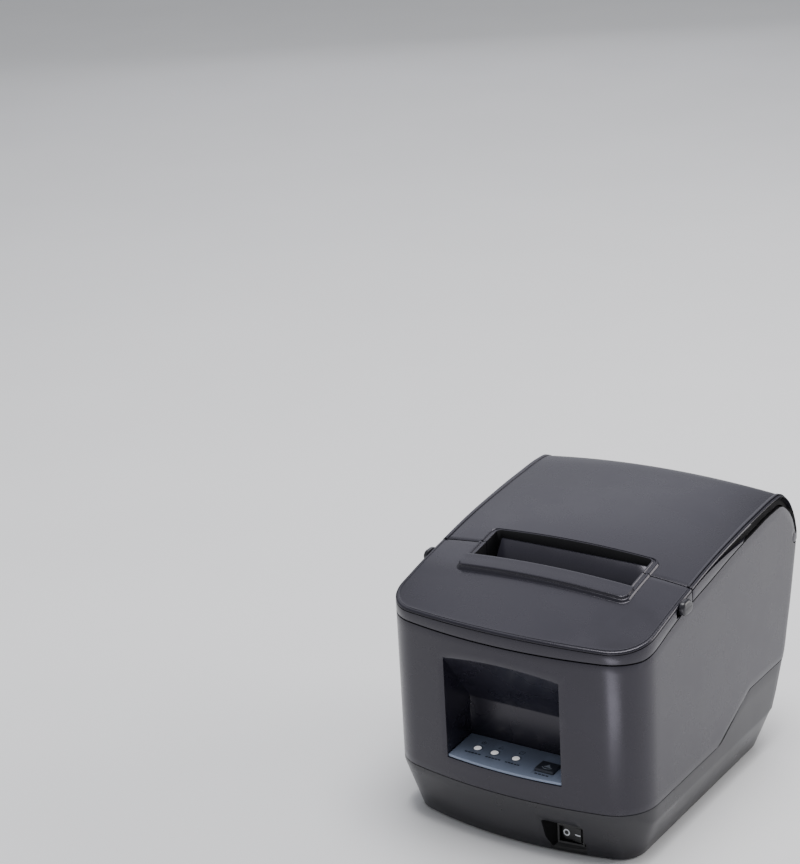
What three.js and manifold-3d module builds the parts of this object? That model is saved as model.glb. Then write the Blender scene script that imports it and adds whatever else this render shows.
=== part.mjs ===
// Desktop receipt printer for 80 mm roll paper, millimetres, +Z up.
// The front faces -Y. All sections below are drawn about a datum on the base's bottom edge;
// the outer group moves that datum so that the origin is the middle of the footprint, on the table.
import * as THREE from 'three';
import { mergeVertices } from 'three/addons/utils/BufferGeometryUtils.js';
import Module from 'manifold-3d';

const wasm = await Module();
wasm.setup();

// ---------------------------------------------------------------- driving dimensions
const SHIFT_Y = -1.35;          // datum to middle of the footprint
const FOOT_PROUD = 1.0;         // feet stand this far below the base
const HALF_W = 72.5;            // half width of the body
const FRONT_Y = -95;            // middle of the bowed front
const BOW = 10.2;               // how far the front bows across its width
const CORNER_R = 22.5;          // front vertical corners
const REAR_Y = 99;              // beyond the rear of every section
const CROWN = 4.4;              // rise of the top across its width
const WALL = 2.4;               // shell thickness
const GAP = 0.3;                // clearance between neighbours
const SEAM_Y = -28.3;           // seam between front cover and lid
const HINGE = [94.9, 111.2];    // lid hinge axis (y, z)
const BARREL_R = 2.4;
const PLATEN = [-17.5, 103];    // platen axis (y, z)
const PLATEN_R = 7;
const SHAFT_R = 3;
const GEAR_M = 1;               // gear module
const PLATEN_T = 18, DRIVE_T = 24, PINION_T = 12, CUT_T = 12;
const BACKLASH = 0.25;          // added to every centre distance
const RELEASE = [-44, 98];      // release shaft axis (y, z)
const ROLL = [36, 90];          // centre of the paper roll space (y, z)
const ROLL_R = 42.5;
const SWITCH = { x: 32.8, y: -84.2, z: 10.2, turn: 7.1 };

// top edge of the body at its sides (y, z)
const TOP_Y = [-95, -70, -60, -50, -40, -28, -14, 3, 26, 38, 50, 62, 70, 74, 81, 87.6, 91.5, 95.6, 97.7];
const TOP_Z = [113.3, 119.6, 122.1, 124.6, 126.8, 129.2, 132, 134.8, 137.7, 139, 140, 141, 141.4, 141.4, 139.2, 134.4, 129, 121.8, 113];
// parting line between housing and the covers, at the sides
const PART = [[-120, 110], [-78, 110], [-68, 112], [-52.5, 116.5], [-39.6, 119.7], [-25.4, 122.3], [-8.7, 125], [14.2, 129.1],
  [31.9, 131.7], [48, 133.6], [62, 135.2], [75, 135.6], [82.5, 132.4], [87.7, 128.3], [92.9, 121.5], [95.7, 113]];
// seam between base and housing
const SEAM = [[-120, 29.2], [2, 29.2], [4.5, 29.9], [35.5, 44.8], [38.5, 45.6], [120, 45.6]];
// rear outline of the housing, going down
const REAR = [[97.1, 108.4], [94.7, 97.7], [89.8, 76.1], [86.1, 62.8], [81.8, 48], [79.8, 45.2]];
const BASE_REAR = [[79.85, 45.4], [72.2, 30], [67.1, 22], [63.3, 20.8], [61.4, 0]];

// ---------------------------------------------------------------- solid helpers
function solid(geo) {
  const g = geo.clone();
  g.deleteAttribute('normal');
  g.deleteAttribute('uv');
  const m = mergeVertices(g, 1e-4);
  return new wasm.Manifold(new wasm.Mesh({
    numProp: 3,
    vertProperties: new Float32Array(m.attributes.position.array),
    triVerts: new Uint32Array(m.index.array),
  }));
}
function ccw(pts) {
  let a = 0;
  for (let i = 0; i < pts.length; i++) {
    const [x0, y0] = pts[i], [x1, y1] = pts[(i + 1) % pts.length];
    a += x0 * y1 - x1 * y0;
  }
  return a < 0 ? [...pts].reverse() : pts;
}
const shapeOf = (pts) => new THREE.Shape(ccw(pts).map(([x, y]) => new THREE.Vector2(x, y)));
const BASIS = {
  x: new THREE.Matrix4().makeBasis(new THREE.Vector3(0, 1, 0), new THREE.Vector3(0, 0, 1), new THREE.Vector3(1, 0, 0)),
  y: new THREE.Matrix4().makeBasis(new THREE.Vector3(1, 0, 0), new THREE.Vector3(0, 0, 1), new THREE.Vector3(0, -1, 0)),
  z: new THREE.Matrix4(),
};
// section extruded along an axis from a to b; sections are (y,z), (x,z) or (x,y)
function prism(pts, axis, a, b) {
  const g = new THREE.ExtrudeGeometry(shapeOf(pts), { depth: b - a, bevelEnabled: false, curveSegments: 1 });
  g.applyMatrix4(BASIS[axis]);
  if (axis === 'x') g.translate(a, 0, 0);
  if (axis === 'y') g.translate(0, b, 0);
  if (axis === 'z') g.translate(0, 0, a);
  return solid(g);
}
function box(x0, x1, y0, y1, z0, z1) {
  const g = new THREE.BoxGeometry(x1 - x0, y1 - y0, z1 - z0);
  g.translate((x0 + x1) / 2, (y0 + y1) / 2, (z0 + z1) / 2);
  return solid(g);
}
const circle = (cx, cy, r, n = 24) => Array.from({ length: n }, (_, i) => {
  const t = (2 * Math.PI * (i + 0.5)) / n;
  return [cx + r * Math.cos(t), cy + r * Math.sin(t)];
});
const rod = (axis, c, r, a, b, n = 24) => prism(circle(c[0], c[1], r, n), axis, a, b);
const tube = (axis, c, r, ri, a, b, n = 24) => rod(axis, c, r, a, b, n).subtract(rod(axis, c, ri, a - 1, b + 1, n));
function roundRect(x0, x1, y0, y1, r, n = 4) {
  const out = [];
  for (const [cx, cy, t0] of [[x1 - r, y1 - r, 0], [x0 + r, y1 - r, 1], [x0 + r, y0 + r, 2], [x1 - r, y0 + r, 3]]) {
    for (let i = 0; i <= n; i++) {
      const t = (t0 + i / n) * Math.PI / 2;
      out.push([cx + r * Math.cos(t), cy + r * Math.sin(t)]);
    }
  }
  return out;
}
// stack of equal-count outlines joined into one closed body
function loft(rings) {
  const base = ccw(rings[0].map((p) => [p[0], p[1]]));
  const g = new THREE.ExtrudeGeometry(new THREE.Shape(base.map(([x, y]) => new THREE.Vector2(x, y))),
    { depth: rings.length - 1, steps: rings.length - 1, bevelEnabled: false, curveSegments: 1 });
  const p = g.attributes.position;
  for (let i = 0; i < p.count; i++) {
    let k = 0, best = 1e9;
    for (let j = 0; j < rings[0].length; j++) {
      const d = Math.hypot(rings[0][j][0] - p.getX(i), rings[0][j][1] - p.getY(i));
      if (d < best) { best = d; k = j; }
    }
    const q = rings[Math.round(p.getZ(i))][k];
    p.setXYZ(i, q[0], q[1], q[2]);
  }
  return solid(g);
}
const lerp = (xs, ys, x) => {
  if (x <= xs[0]) return ys[0];
  for (let i = 1; i < xs.length; i++) {
    if (x <= xs[i]) return ys[i - 1] + (ys[i] - ys[i - 1]) * (x - xs[i - 1]) / (xs[i] - xs[i - 1]);
  }
  return ys[ys.length - 1];
};

// ---------------------------------------------------------------- body surfaces
// plan outline of the body, set in by `inset`; bow and corner follow
function outline(inset, yb = REAR_Y, nf = 10, nc = 7) {
  const h = HALF_W - inset, R = Math.max(CORNER_R - inset, 1), xs = h - R;
  const slope = (2 * BOW * xs) / (h * h);
  const d = Math.atan(slope);
  const yf = (x) => FRONT_Y + inset + BOW * (x / h) ** 2;
  const xe = h - R + R * Math.sin(d);
  const yc = yf(xe) + R * Math.cos(d);
  const right = [];
  for (let i = 0; i <= nc; i++) {
    const t = -Math.PI / 2 + d + (Math.PI / 2 - d) * (i / nc);
    right.push([h - R + R * Math.cos(t), yc + R * Math.sin(t)]);
  }
  const front = [];
  for (let i = 1; i < nf; i++) front.push(-xe + (2 * xe * i) / nf);
  const pts = [];
  pts.push([-h, yb]);
  for (const [x, y] of [...right].reverse()) pts.push([-x, y]);
  for (const x of front) pts.push([x, yf(x)]);
  pts.push(...right);
  pts.push([h, yb]);
  return pts;
}
const plan = (inset, z0 = -5, z1 = 160, yb) => prism(outline(inset, yb), 'z', z0, z1);
const topAt = (x, y, drop) => {
  const z = drop > 0 ? Math.min(lerp(TOP_Y, TOP_Z, y), lerp(TOP_Y, TOP_Z, y + 2.2)) : lerp(TOP_Y, TOP_Z, y);
  return z + CROWN * (1 - (x / HALF_W) ** 2) - drop;
};
// block whose upper face is the crowned top, lowered by `drop`
function topBlock(drop, z0 = 60, yEnd = 97.7) {
  const ys = [-97, ...TOP_Y.slice(1).filter((y) => y < yEnd - 0.5), yEnd];
  const nx = 8, ny = ys.length - 1;
  const g = new THREE.BoxGeometry(150, 1, 1, nx, ny, 1);
  const p = g.attributes.position;
  for (let i = 0; i < p.count; i++) {
    const x = p.getX(i);
    const y = ys[Math.round((p.getY(i) + 0.5) * ny)];
    p.setXYZ(i, x, y, p.getZ(i) > 0 ? topAt(x, y, drop) : z0);
  }
  return solid(g);
}
const partingAbove = (lift) => prism([...PART.map(([y, z]) => [y, z + lift]), [95.7, 112.9], [120, 112.9], [120, 170], [-120, 170]], 'x', -80, 80);

// ---------------------------------------------------------------- materials and nodes
const root = new THREE.Group();
root.position.set(0, SHIFT_Y, FOOT_PROUD);
const PLASTIC = [0x2c2b30, 0.42, 0];
const MATT = [0x242428, 0.6, 0];
const STEEL = [0xa9adb2, 0.35, 0.9];
function add(name, s, [color, roughness, metalness], parent = root) {
  const m = s.getMesh();
  const n = m.numProp, v = new Float32Array((m.vertProperties.length / n) * 3);
  for (let i = 0; i < v.length / 3; i++) {
    v[3 * i] = m.vertProperties[n * i];
    v[3 * i + 1] = m.vertProperties[n * i + 1];
    v[3 * i + 2] = m.vertProperties[n * i + 2];
  }
  const g = new THREE.BufferGeometry();
  g.setAttribute('position', new THREE.BufferAttribute(v, 3));
  g.setIndex(new THREE.BufferAttribute(new Uint32Array(m.triVerts), 1));
  g.computeVertexNormals();
  const mesh = new THREE.Mesh(g, new THREE.MeshStandardMaterial({ color, roughness, metalness }));
  mesh.name = name;
  parent.add(mesh);
  return mesh;
}

// ---------------------------------------------------------------- base tray
function baseInset(x, y) { // height at which the lower chamfer begins, front edge higher than the sides
  const t = Math.min(1, Math.max(0, (-72 - y) / 10));
  return 21 + 6 * t;
}
function baseLoft(inset, zBottom) {
  const top = outline(inset), bot = outline(inset + 7.9);
  const k = (z, zc) => Math.min(1, Math.max(0, (zc - z) / zc));
  const at = (z, useC) => top.map(([x, y], i) => {
    const zc = baseInset(x, y);
    const zz = useC ? zc : z;
    const f = useC ? 0 : k(zz, zc);
    return [x + (bot[i][0] - x) * f, y + (bot[i][1] - y) * f, zz];
  });
  return loft([at(zBottom, false), at(0, true), top.map(([x, y]) => [x, y, 60])]);
}
const baseSide = (dz, dr) => prism([[-120, -3], ...[...BASE_REAR].reverse().map(([y, z]) => [y - dr, z === 0 ? -3 : z]),
  ...[...SEAM].reverse().filter(([y]) => y < 79).map(([y, z]) => [y, z + dz])], 'x', -80, 80);
let base = baseLoft(0, 0).intersect(baseSide(-0.2, 0));
const baseOuter = base;
const baseInner = baseLoft(WALL, 2.6).intersect(baseSide(30, 2.6));
base = base.subtract(baseInner);
// rear connector bay
base = base.add(box(-53, 53, 56.5, 90, 4, 38).intersect(baseOuter));
base = base.subtract(box(-51, 51, 50, 100, 6, 36));
// switch pocket in the front wall, turned to follow the bow
const swM = new THREE.Matrix4().makeRotationZ(SWITCH.turn * Math.PI / 180).setPosition(SWITCH.x, SWITCH.y, SWITCH.z);
function local(s) { return s.transform([...swM.elements]); }
base = base.add(local(box(-15.5, 12, -12, 1.8, -8, 10.6)).intersect(baseOuter));
const pocket = (() => {
  const r0 = [[-7.5, -5.7], [7.5, -5.7], [7.5, 5.7], [-7.5, 5.7]];
  const r1 = [[-14.5, -7.6], [10.5, -7.6], [10.5, 11.4], [-14.5, 11.4]];
  const rings = [r0.map(([u, w]) => [u, w, 0]), r0.map(([u, w]) => [u, w, 3]), r1.map(([u, w]) => [u, w, 14])];
  const m = loft(rings);
  // local z of the loft points out of the front
  return m.transform([...new THREE.Matrix4().makeBasis(new THREE.Vector3(1, 0, 0), new THREE.Vector3(0, 0, 1), new THREE.Vector3(0, -1, 0)).setPosition(0, 3, 0).elements]);
})();
base = base.subtract(local(pocket));
// feet pockets, screw holes, board posts
const FEET = [[-50, -62], [50, -62], [-46, 38], [46, 38]];
const SCREWS = [[-30, -59], [30, -59], [-57, 47], [57, 47]];
const POSTS = [[-44, -46], [44, -46], [-44, 49], [44, 49]];
for (const [x, y] of FEET) base = base.add(rod('z', [x, y], 8, 1, 4.4, 20)).subtract(rod('z', [x, y], 6.3, -2, 2, 20));
for (const [x, y] of SCREWS) base = base.add(rod('z', [x, y], 4.6, 1, 12, 16)).subtract(rod('z', [x, y], 3.1, -2, 2.6, 16)).subtract(rod('z', [x, y], 1.8, -2, 20, 12));
for (const [x, y] of POSTS) base = base.add(rod('z', [x, y], 2.5, 2, 9.5, 12));
add('base_tray', base, [0x2a292d, 0.5, 0]);

// ---------------------------------------------------------------- main housing
const houseSide = (inset) => prism([[-120, 29.4 - (inset ? 20 : 0)],
  ...(inset ? [[4, 9]] : SEAM.slice(1, 5).map(([y, z]) => [y, z + 0.2])), [79.8 - inset, inset ? 9 : 45.8],
  ...[...REAR].reverse().slice(1).map(([y, z]) => [y - inset, z]),
  ...(inset ? [[97.1 - inset, 150], [-120, 150]]
    : [[97.2, 109.2], [97.2, 112.6], [95.7, 112.6], ...[...PART].reverse().slice(0).map(([y, z]) => [y, z - 0.25])])], 'x', -80, 80);
const shell = plan(0, 20, 160).intersect(houseSide(0));
const archTop = (x) => 100.4 - 3.4 * (x / 33) ** 2;
const archPts = (hx, dz) => { const o = []; for (let i = 0; i <= 8; i++) { const x = hx - (2 * hx * i) / 8; o.push([x, archTop(x * 33 / hx) + dz]); } return o; };
let housing = shell.subtract(plan(WALL, 10, 170).intersect(houseSide(WALL)));
const recessOuter = prism([[-120, 38.6], [-67.8, 40.4], [-67.8, 67.2], [-94.5, 103.4], [-120, 103.4]], 'x', -35.2, 35.2).intersect(plan(0.4, 20, 160));
const recessInner = prism([[-120, 39.3], [-70, 42.7], [-70, 66], [-95, 100.4], [-120, 104]], 'x', -33, 33)
  .intersect(prism([[-33, 30], [33, 30], ...archPts(33, 0)], 'y', -120, -60));
housing = housing.add(recessOuter).subtract(recessInner);
housing = housing.subtract(box(-29, 29.5, -90.3, -73.5, 36, 44));          // cut-out under the panel
// hinge relief, lugs and pin bores at the rear edge
housing = housing.subtract(rod('x', HINGE, 3.9, -80, 80, 28)).subtract(box(-69.8, 69.8, 91, 99, 111.2, 150));
for (const s of [-1, 1]) {
  for (const [a, b] of [[40.2, 43.6], [54.4, 57.8]]) {
    const [x0, x1] = s > 0 ? [a, b] : [-b, -a];
    const lug = rod('x', HINGE, BARREL_R, x0, x1, 20).add(prism([[92.5, 111], [92.5, 102], [95.4, 100.6], [96.6, 106.2], [97.1, 108.6], [97.2, 111]], 'x', x0, x1));
    housing = housing.add(lug);
  }
  const [p0, p1] = s > 0 ? [39, 59] : [-59, -39];
  housing = housing.subtract(rod('x', HINGE, 1.5, p0, p1, 16));
}
// notch for the release knobs
const knobSlot = prism([[-47.2, 118], [-33.6, 118], [-32.9, 121], [-33.6, 125.3], [-47.2, 125.3], [-47.8, 121]], 'x', -80, 80)
  .subtract(box(-69.4, 69.4, -60, -20, 100, 140));
housing = housing.subtract(knobSlot);
add('main_housing', housing, PLASTIC);

// ---------------------------------------------------------------- front cover and lid
const skin = plan(0, 60, 170).intersect(topBlock(0));
const hollow = plan(WALL, 50, 170).intersect(topBlock(WALL, 50, 95.3));
let hood = skin.subtract(hollow);
// raised frame round the paper slot, with a deep guide well below it
const slotOut = roundRect(-49.5, 49.5, -53.5, -15.5, 5), slotIn = roundRect(-45, 45, -43, -18.5, 3);
const rimAll = prism(slotOut, 'z', 122, 150).intersect(topBlock(-1.2));
const rimFront = prism(roundRect(-48.5, 48.5, -52.8, -41, 2.5), 'z', 122, 150).intersect(topBlock(-2.7));
const well = prism(roundRect(-46.6, 46.6, -44.6, -16.9, 4), 'z', 119.5, 133).intersect(topBlock(0.5));
hood = hood.add(rimAll.intersect(topBlock(-1.2).subtract(topBlock(2, 50, 95.4)))).add(rimFront.subtract(topBlock(2, 50, 95.4))).add(well).subtract(prism(slotIn, 'z', 100, 170));
const covers = hood.intersect(partingAbove(0.25));
const chute = prism([[-18.2, 135.2], [-18.4, 134], [-25.1, 121.2], [-23.1, 120.2], [-16.6, 132.6], [-16.6, 135.2]], 'x', -45.6, 45.6).intersect(topBlock(-0.6));
const chuteInner = chute.subtract(box(42.4, 60, -40, -18.4, 100, 150)).subtract(box(-60, -42.4, -40, -18.4, 100, 150));
const tongue = prism([[-43.6, 130.2], [-43.6, 126.5], [-29, 119.2], [-25.6, 119.2], [-25.6, 120.6], [-29, 121.6], [-42.8, 130.2]], 'x', -42.2, 42.2)
  .add(prism([[-43.6, 130.2], [-43.6, 126.5], [-29, 119.2], [-29, 121.6], [-42.8, 130.2]], 'x', -45.6, 45.6));
let frontCover = covers.intersect(box(-90, 90, -130, SEAM_Y - GAP, 60, 170)).add(tongue);
frontCover = frontCover.subtract(knobSlot);
add('front_cover', frontCover, PLASTIC);

let lid = covers.intersect(box(-90, 90, SEAM_Y + GAP, 130, 60, 170)).add(chuteInner);
for (const s of [-1, 1]) {
  for (const [a, b] of [[39.8, 44], [54, 58.2]]) {
    const [x0, x1] = s > 0 ? [a, b] : [-b, -a];
    lid = lid.subtract(box(x0, x1, 88, 99, 100, 114.6));
  }
}
// rolled rear edge of the lid: it turns on the pins between the housing's lugs
for (const [k0, k1] of [[-69.2, -58.3], [-53.9, -44.1], [-39.7, 39.7], [44.1, 53.9], [58.3, 69.2]]) {
  const web = prism([[92.6, 111.2], [97.3, 111.2], [97.3, 114], [95, 121.5], [90, 128], [88, 128], [92.6, 120]], 'x', k0, k1).intersect(topBlock(0.4, 60, 97.3));
  lid = lid.add(rod('x', HINGE, BARREL_R, k0, k1, 20)).add(web);
}
lid = lid.subtract(rod('x', HINGE, 1.5, -59, -39, 16)).subtract(rod('x', HINGE, 1.5, 39, 59, 16));
// stiffening rails under the lid
for (const x of [-60, 60]) lid = lid.add(box(x - 0.8, x + 0.8, -20, 84, 110, 150).intersect(topBlock(0.5, 60, 95)).subtract(topBlock(6, 50, 93)));
add('paper_lid', lid, PLASTIC);
for (const s of [-1, 1]) add(s < 0 ? 'hinge_pin_left' : 'hinge_pin_right', rod('x', HINGE, 1.2, s > 0 ? 40.4 : -57.6, s > 0 ? 57.6 : -40.4, 16), STEEL);

// ---------------------------------------------------------------- panel
const panelZ = (y) => 42.6 + 0.068 * (y + 95);
const LAMPS = [[-22, -81.6], [-11.8, -81.9], [0.8, -82.1]];
const BTN = { x: 19.9, y: -83.2, w: 10.8, d: 9 };
let panel = prism([[-120, panelZ(-120) - 1.3], [-70.3, panelZ(-70.3) - 1.3], [-70.3, panelZ(-70.3)], [-120, panelZ(-120)]], 'x', -32.6, 32.6).intersect(plan(0.5, 20, 60));
for (const [x, y] of LAMPS) panel = panel.subtract(rod('z', [x, y], 2.3, 30, 50, 16));
panel = panel.subtract(box(BTN.x - BTN.w / 2 - GAP, BTN.x + BTN.w / 2 + GAP, BTN.y - BTN.d / 2 - GAP, BTN.y + BTN.d / 2 + GAP, 30, 50));
add('control_panel', panel, [0x566c88, 0.45, 0]);
LAMPS.forEach(([x, y], i) => add(`lamp_lens_${i + 1}`, rod('z', [x, y], 1.95, 38.6, panelZ(y) + 0.35, 16), [0xf2f2f0, 0.3, 0]));
let button = prism(roundRect(BTN.x - BTN.w / 2, BTN.x + BTN.w / 2, BTN.y - BTN.d / 2, BTN.y + BTN.d / 2, 0.8, 2), 'z', 41.6, panelZ(BTN.y) + 1.1)
  .add(prism(roundRect(BTN.x - BTN.w / 2 + 1.5, BTN.x + BTN.w / 2 - 1.5, BTN.y - BTN.d / 2 + 1.5, BTN.y + BTN.d / 2 - 1.5, 0.8, 2), 'z', 39.8, 42));
add('feed_button', button, [0x2c3038, 0.5, 0]);
add('panel_board', box(-30, 30, -90, -73, 36.6, 38.2).subtract(box(-31, -20, -92, -84, 30, 40)), [0x1e5a36, 0.5, 0]);

// ---------------------------------------------------------------- power switch
const swBody = box(-7.2, 7.2, -0.6, 12, -5.4, 5.4).subtract(box(-6.25, 6.25, -2, 8, -4.35, 4.35));
add('switch_body', local(swBody), [0x1b1b1d, 0.45, 0]);
const ROCKER_V = 2.6;
const rk = [[-5.9, -1.2], [0, -2.0], [5.3, -2.95], [5.95, 0.8], [3.6, 4.2], [-3.6, 4.2], [-5.95, 0.8]].map(([u, v]) => [u, v + ROCKER_V]);
add('switch_rocker', local(prism(rk, 'z', -4.05, 4.05)), [0x161617, 0.35, 0]);

// ---------------------------------------------------------------- feet and base screws
FEET.forEach(([x, y], i) => add(['foot_front_left', 'foot_front_right', 'foot_rear_left', 'foot_rear_right'][i], rod('z', [x, y], 6, -FOOT_PROUD, 1.7, 20), [0x1a1a1a, 0.9, 0]));
SCREWS.forEach(([x, y], i) => add(`base_screw_${i + 1}`, rod('z', [x, y], 2.8, 0.5, 2.3, 16).add(rod('z', [x, y], 1.4, 1, 11, 10)), STEEL));

// ---------------------------------------------------------------- print mechanism
function gear(teeth, phase, c, x0, x1, bore, m = GEAR_M) {
  const rp = (teeth * m) / 2, ro = rp + 0.85 * m, rr = rp - 1.15 * m, step = (2 * Math.PI) / teeth;
  const pts = [];
  for (let i = 0; i < teeth; i++) {
    const a = phase + i * step;
    const wr = step * 0.34, wp = step * 0.215, wo = step * 0.10;
    for (const [t, r] of [[-wr, rr], [-wp, rp], [-wo, ro], [wo, ro], [wp, rp], [wr, rr]]) pts.push([c[0] + r * Math.cos(a + t), c[1] + r * Math.sin(a + t)]);
  }
  const b = prism(pts, 'x', x0, x1);
  return bore ? b.subtract(rod('x', c, bore, x0 - 1, x1 + 1, 16)) : b;
}
const dirPD = Math.atan2(-20.7, -3.5);                                     // from platen to drive gear
const cPD = GEAR_M * (PLATEN_T + DRIVE_T) / 2 + BACKLASH;
const DRIVE = [PLATEN[0] + cPD * Math.cos(dirPD), PLATEN[1] + cPD * Math.sin(dirPD)];
const dirDM = Math.atan2(-6, -17);
const cDM = GEAR_M * (DRIVE_T + PINION_T) / 2 + BACKLASH;
const MOTOR = [DRIVE[0] + cDM * Math.cos(dirDM), DRIVE[1] + cDM * Math.sin(dirDM)];
const GX0 = 46.4, GX1 = 50.2;
// a tooth of one gear faces a space of the next
const phP = dirPD;
const stepD = (2 * Math.PI) / DRIVE_T, stepM = (2 * Math.PI) / PINION_T;
const phD = dirPD + Math.PI + stepD / 2;
const dToM = ((dirDM - phD) / stepD);
const fracD = dToM - Math.round(dToM);
const phM = dirDM + Math.PI + stepM / 2 + fracD * stepM;
const NYLON = [0xd9d4c4, 0.5, 0];
add('platen_shaft', rod('x', PLATEN, SHAFT_R, -54, 54, 20), STEEL);
add('platen_rubber', tube('x', PLATEN, PLATEN_R, SHAFT_R + GAP, -40.5, 40.5, 28), [0x252525, 0.85, 0]);
add('platen_gear', gear(PLATEN_T, phP, PLATEN, GX0, GX1, SHAFT_R + GAP), NYLON);
for (const s of [-1, 1]) add(s < 0 ? 'platen_bush_left' : 'platen_bush_right', tube('x', PLATEN, 4.5, SHAFT_R + GAP, s > 0 ? 41.4 : -44.1, s > 0 ? 44.1 : -41.4, 20), NYLON);
add('drive_gear', gear(DRIVE_T, phD, DRIVE, GX0, GX1, 2.3), NYLON);
add('motor_pinion', gear(PINION_T, phM, MOTOR, GX0, GX1, 1.6), [0xb9a46a, 0.35, 0.9]);
add('drive_gear_axle', rod('x', DRIVE, 2, 43, 51, 16), STEEL);
add('feed_motor', rod('x', MOTOR, 14, 12, 44.1, 28).add(rod('x', MOTOR, 1.3, 44, 51, 12)), [0x6d7076, 0.4, 0.8]);

// sheet steel chassis
const sideProfile = [[-58, 60], [-10, 60], [-10, 106.2], [-12.4, 106.2], [-14, 103], [-14.3, 101.2], [-15.6, 99.9], [-17.5, 99.4],
  [-19.4, 99.9], [-20.8, 101.2], [-21.2, 103], [-22.4, 107], [-28.6, 107], [-28.6, 111], [-58, 111]];
let chassis = box(-45.8, 45.8, -58, -10, 60, 61.2);
for (const [a, b] of [[-45.8, -44.6], [44.6, 45.8]]) chassis = chassis.add(prism(sideProfile, 'x', a, b));
chassis = chassis.add(box(-45.8, 45.8, -72, -28.6, 109.8, 111));
for (const s of [-1, 1]) chassis = chassis.add(box(s > 0 ? 45 : -56, s > 0 ? 56 : -45, -58, -46, 60, 61.2));
chassis = chassis.subtract(rod('x', RELEASE, 2.5, -60, 60, 16)).subtract(rod('x', DRIVE, 2.3, 40, 50, 16)).subtract(rod('x', MOTOR, 2, 40, 50, 16));
chassis = chassis.subtract(rod('z', [-32, -60], 2.3, 100, 120, 16));
add('mech_chassis', chassis, [0x9b9fa4, 0.4, 0.9]);

// print head leans against the lower front of the platen
const A = 25 * Math.PI / 180, nrm = [-Math.cos(A), -Math.sin(A)], tan = [-Math.sin(A), Math.cos(A)];
const hp = (n, t) => [PLATEN[0] + nrm[0] * n + tan[0] * t, PLATEN[1] + nrm[1] * n + tan[1] * t];
add('print_head', prism([hp(7.3, -9), hp(8.5, -9), hp(8.5, 6), hp(7.3, 6)], 'x', -41.1, 41.1), [0xd8d6cf, 0.4, 0]);
let sink = prism([hp(8.8, -10), hp(12.5, -10), hp(14, -6), hp(14, 4), hp(12.2, 6.5), hp(8.8, 6.5)], 'x', -41.1, 41.1);
for (let i = -3; i <= 3; i++) sink = sink.subtract(prism([hp(11.4, -7), hp(20, -7), hp(20, 3.2), hp(11.4, 3.2)], 'x', i * 11 - 3.5, i * 11 + 3.5));
add('head_heat_sink', sink, [0xb4b7ba, 0.35, 0.9]);

// cutter: blade with a rack on its upper side, driven by a pinion on a hanging motor
const CUT = [-32, -60];
const CUT_RP = GEAR_M * CUT_T / 2;
let blade = box(-41, 41, -50, -28, 112.35, 113.15);
const vee = []; // shallow V cutting edge, deepest in the middle
vee.push([-41, -29.5], [41, -29.5], [41, -26.4], [0, -28.2], [-41, -26.4]);
blade = blade.add(prism(vee, 'z', 112.35, 113.15));
const rx0 = CUT[0] + CUT_RP + BACKLASH; // pitch line of the rack
const rack = [[rx0 + 3.6, -66], [rx0 + 3.6, -44], [rx0 + 1.15, -44]];
const pitch = Math.PI * GEAR_M;
for (let k = 6; k >= -2; k--) {
  const yc = CUT[1] + (k - 0.5) * pitch + pitch / 2;
  if (yc > -45.5 || yc < -64.5) continue;
  rack.push([rx0 + 1.15, yc + 1.1], [rx0, yc + 0.66], [rx0 - 0.85, yc + 0.3], [rx0 - 0.85, yc - 0.3], [rx0, yc - 0.66], [rx0 + 1.15, yc - 1.1]);
}
rack.push([rx0 + 1.15, -66]);
blade = blade.add(prism(rack, 'z', 112.35, 115.6)).add(box(rx0 + 1.2, rx0 + 3.6, -50, -44, 112.35, 115.6));
add('cutter_blade', blade, [0xc3c6c9, 0.25, 1]);
{
  const pts = [], step = (2 * Math.PI) / CUT_T;
  for (let i = 0; i < CUT_T; i++) {
    const a = step / 2 + i * step, rp = CUT_RP, ro = rp + 0.85, rr = rp - 1.15;
    for (const [t, r] of [[-step * 0.34, rr], [-step * 0.215, rp], [-step * 0.1, ro], [step * 0.1, ro], [step * 0.215, rp], [step * 0.34, rr]])
      pts.push([CUT[0] + r * Math.cos(a + t), CUT[1] + r * Math.sin(a + t)]);
  }
  add('cutter_pinion', prism(pts, 'z', 112.6, 115.6).subtract(rod('z', CUT, 1.6, 110, 118, 12)), NYLON);
}
add('cutter_motor', rod('z', CUT, 11, 86, 109.5, 24).add(rod('z', CUT, 1.3, 109, 116, 12)), [0x6d7076, 0.4, 0.8]);

// ---------------------------------------------------------------- lid frame and fixed blade
const cheek = [[-23.6, 96.8], [-13, 96.2], [4, 106], [4, 112.8], [-11, 112.8], [-13, 110.6], [-23.6, 110.6]];
let frame = box(-44, 44, -10.2, 4, 107.6, 110.9).subtract(box(-41, 41, -12, -9.2, 100, 110));
for (const [a, b] of [[-44, -41.5], [41.5, 44]]) frame = frame.add(prism(cheek, 'x', a, b));
for (const x of [-32, 32]) frame = frame.add(box(x - 4, x + 4, -4, 4, 110, 150).intersect(topBlock(WALL + 0.5, 60, 90)));
for (const x of [0]) frame = frame.add(box(x - 6, x + 6, -4, 4, 110, 150).intersect(topBlock(WALL + 0.5, 60, 90)));
frame = frame.subtract(rod('x', PLATEN, 4.8, -50, 50, 20)).subtract(rod('x', PLATEN, 8, -41.2, 41.2, 24));
add('lid_frame', frame, MATT);
add('fixed_blade', box(-41, 41, -23.6, -5, 111.2 - 0.05, 112), [0xc3c6c9, 0.25, 1]);

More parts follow.
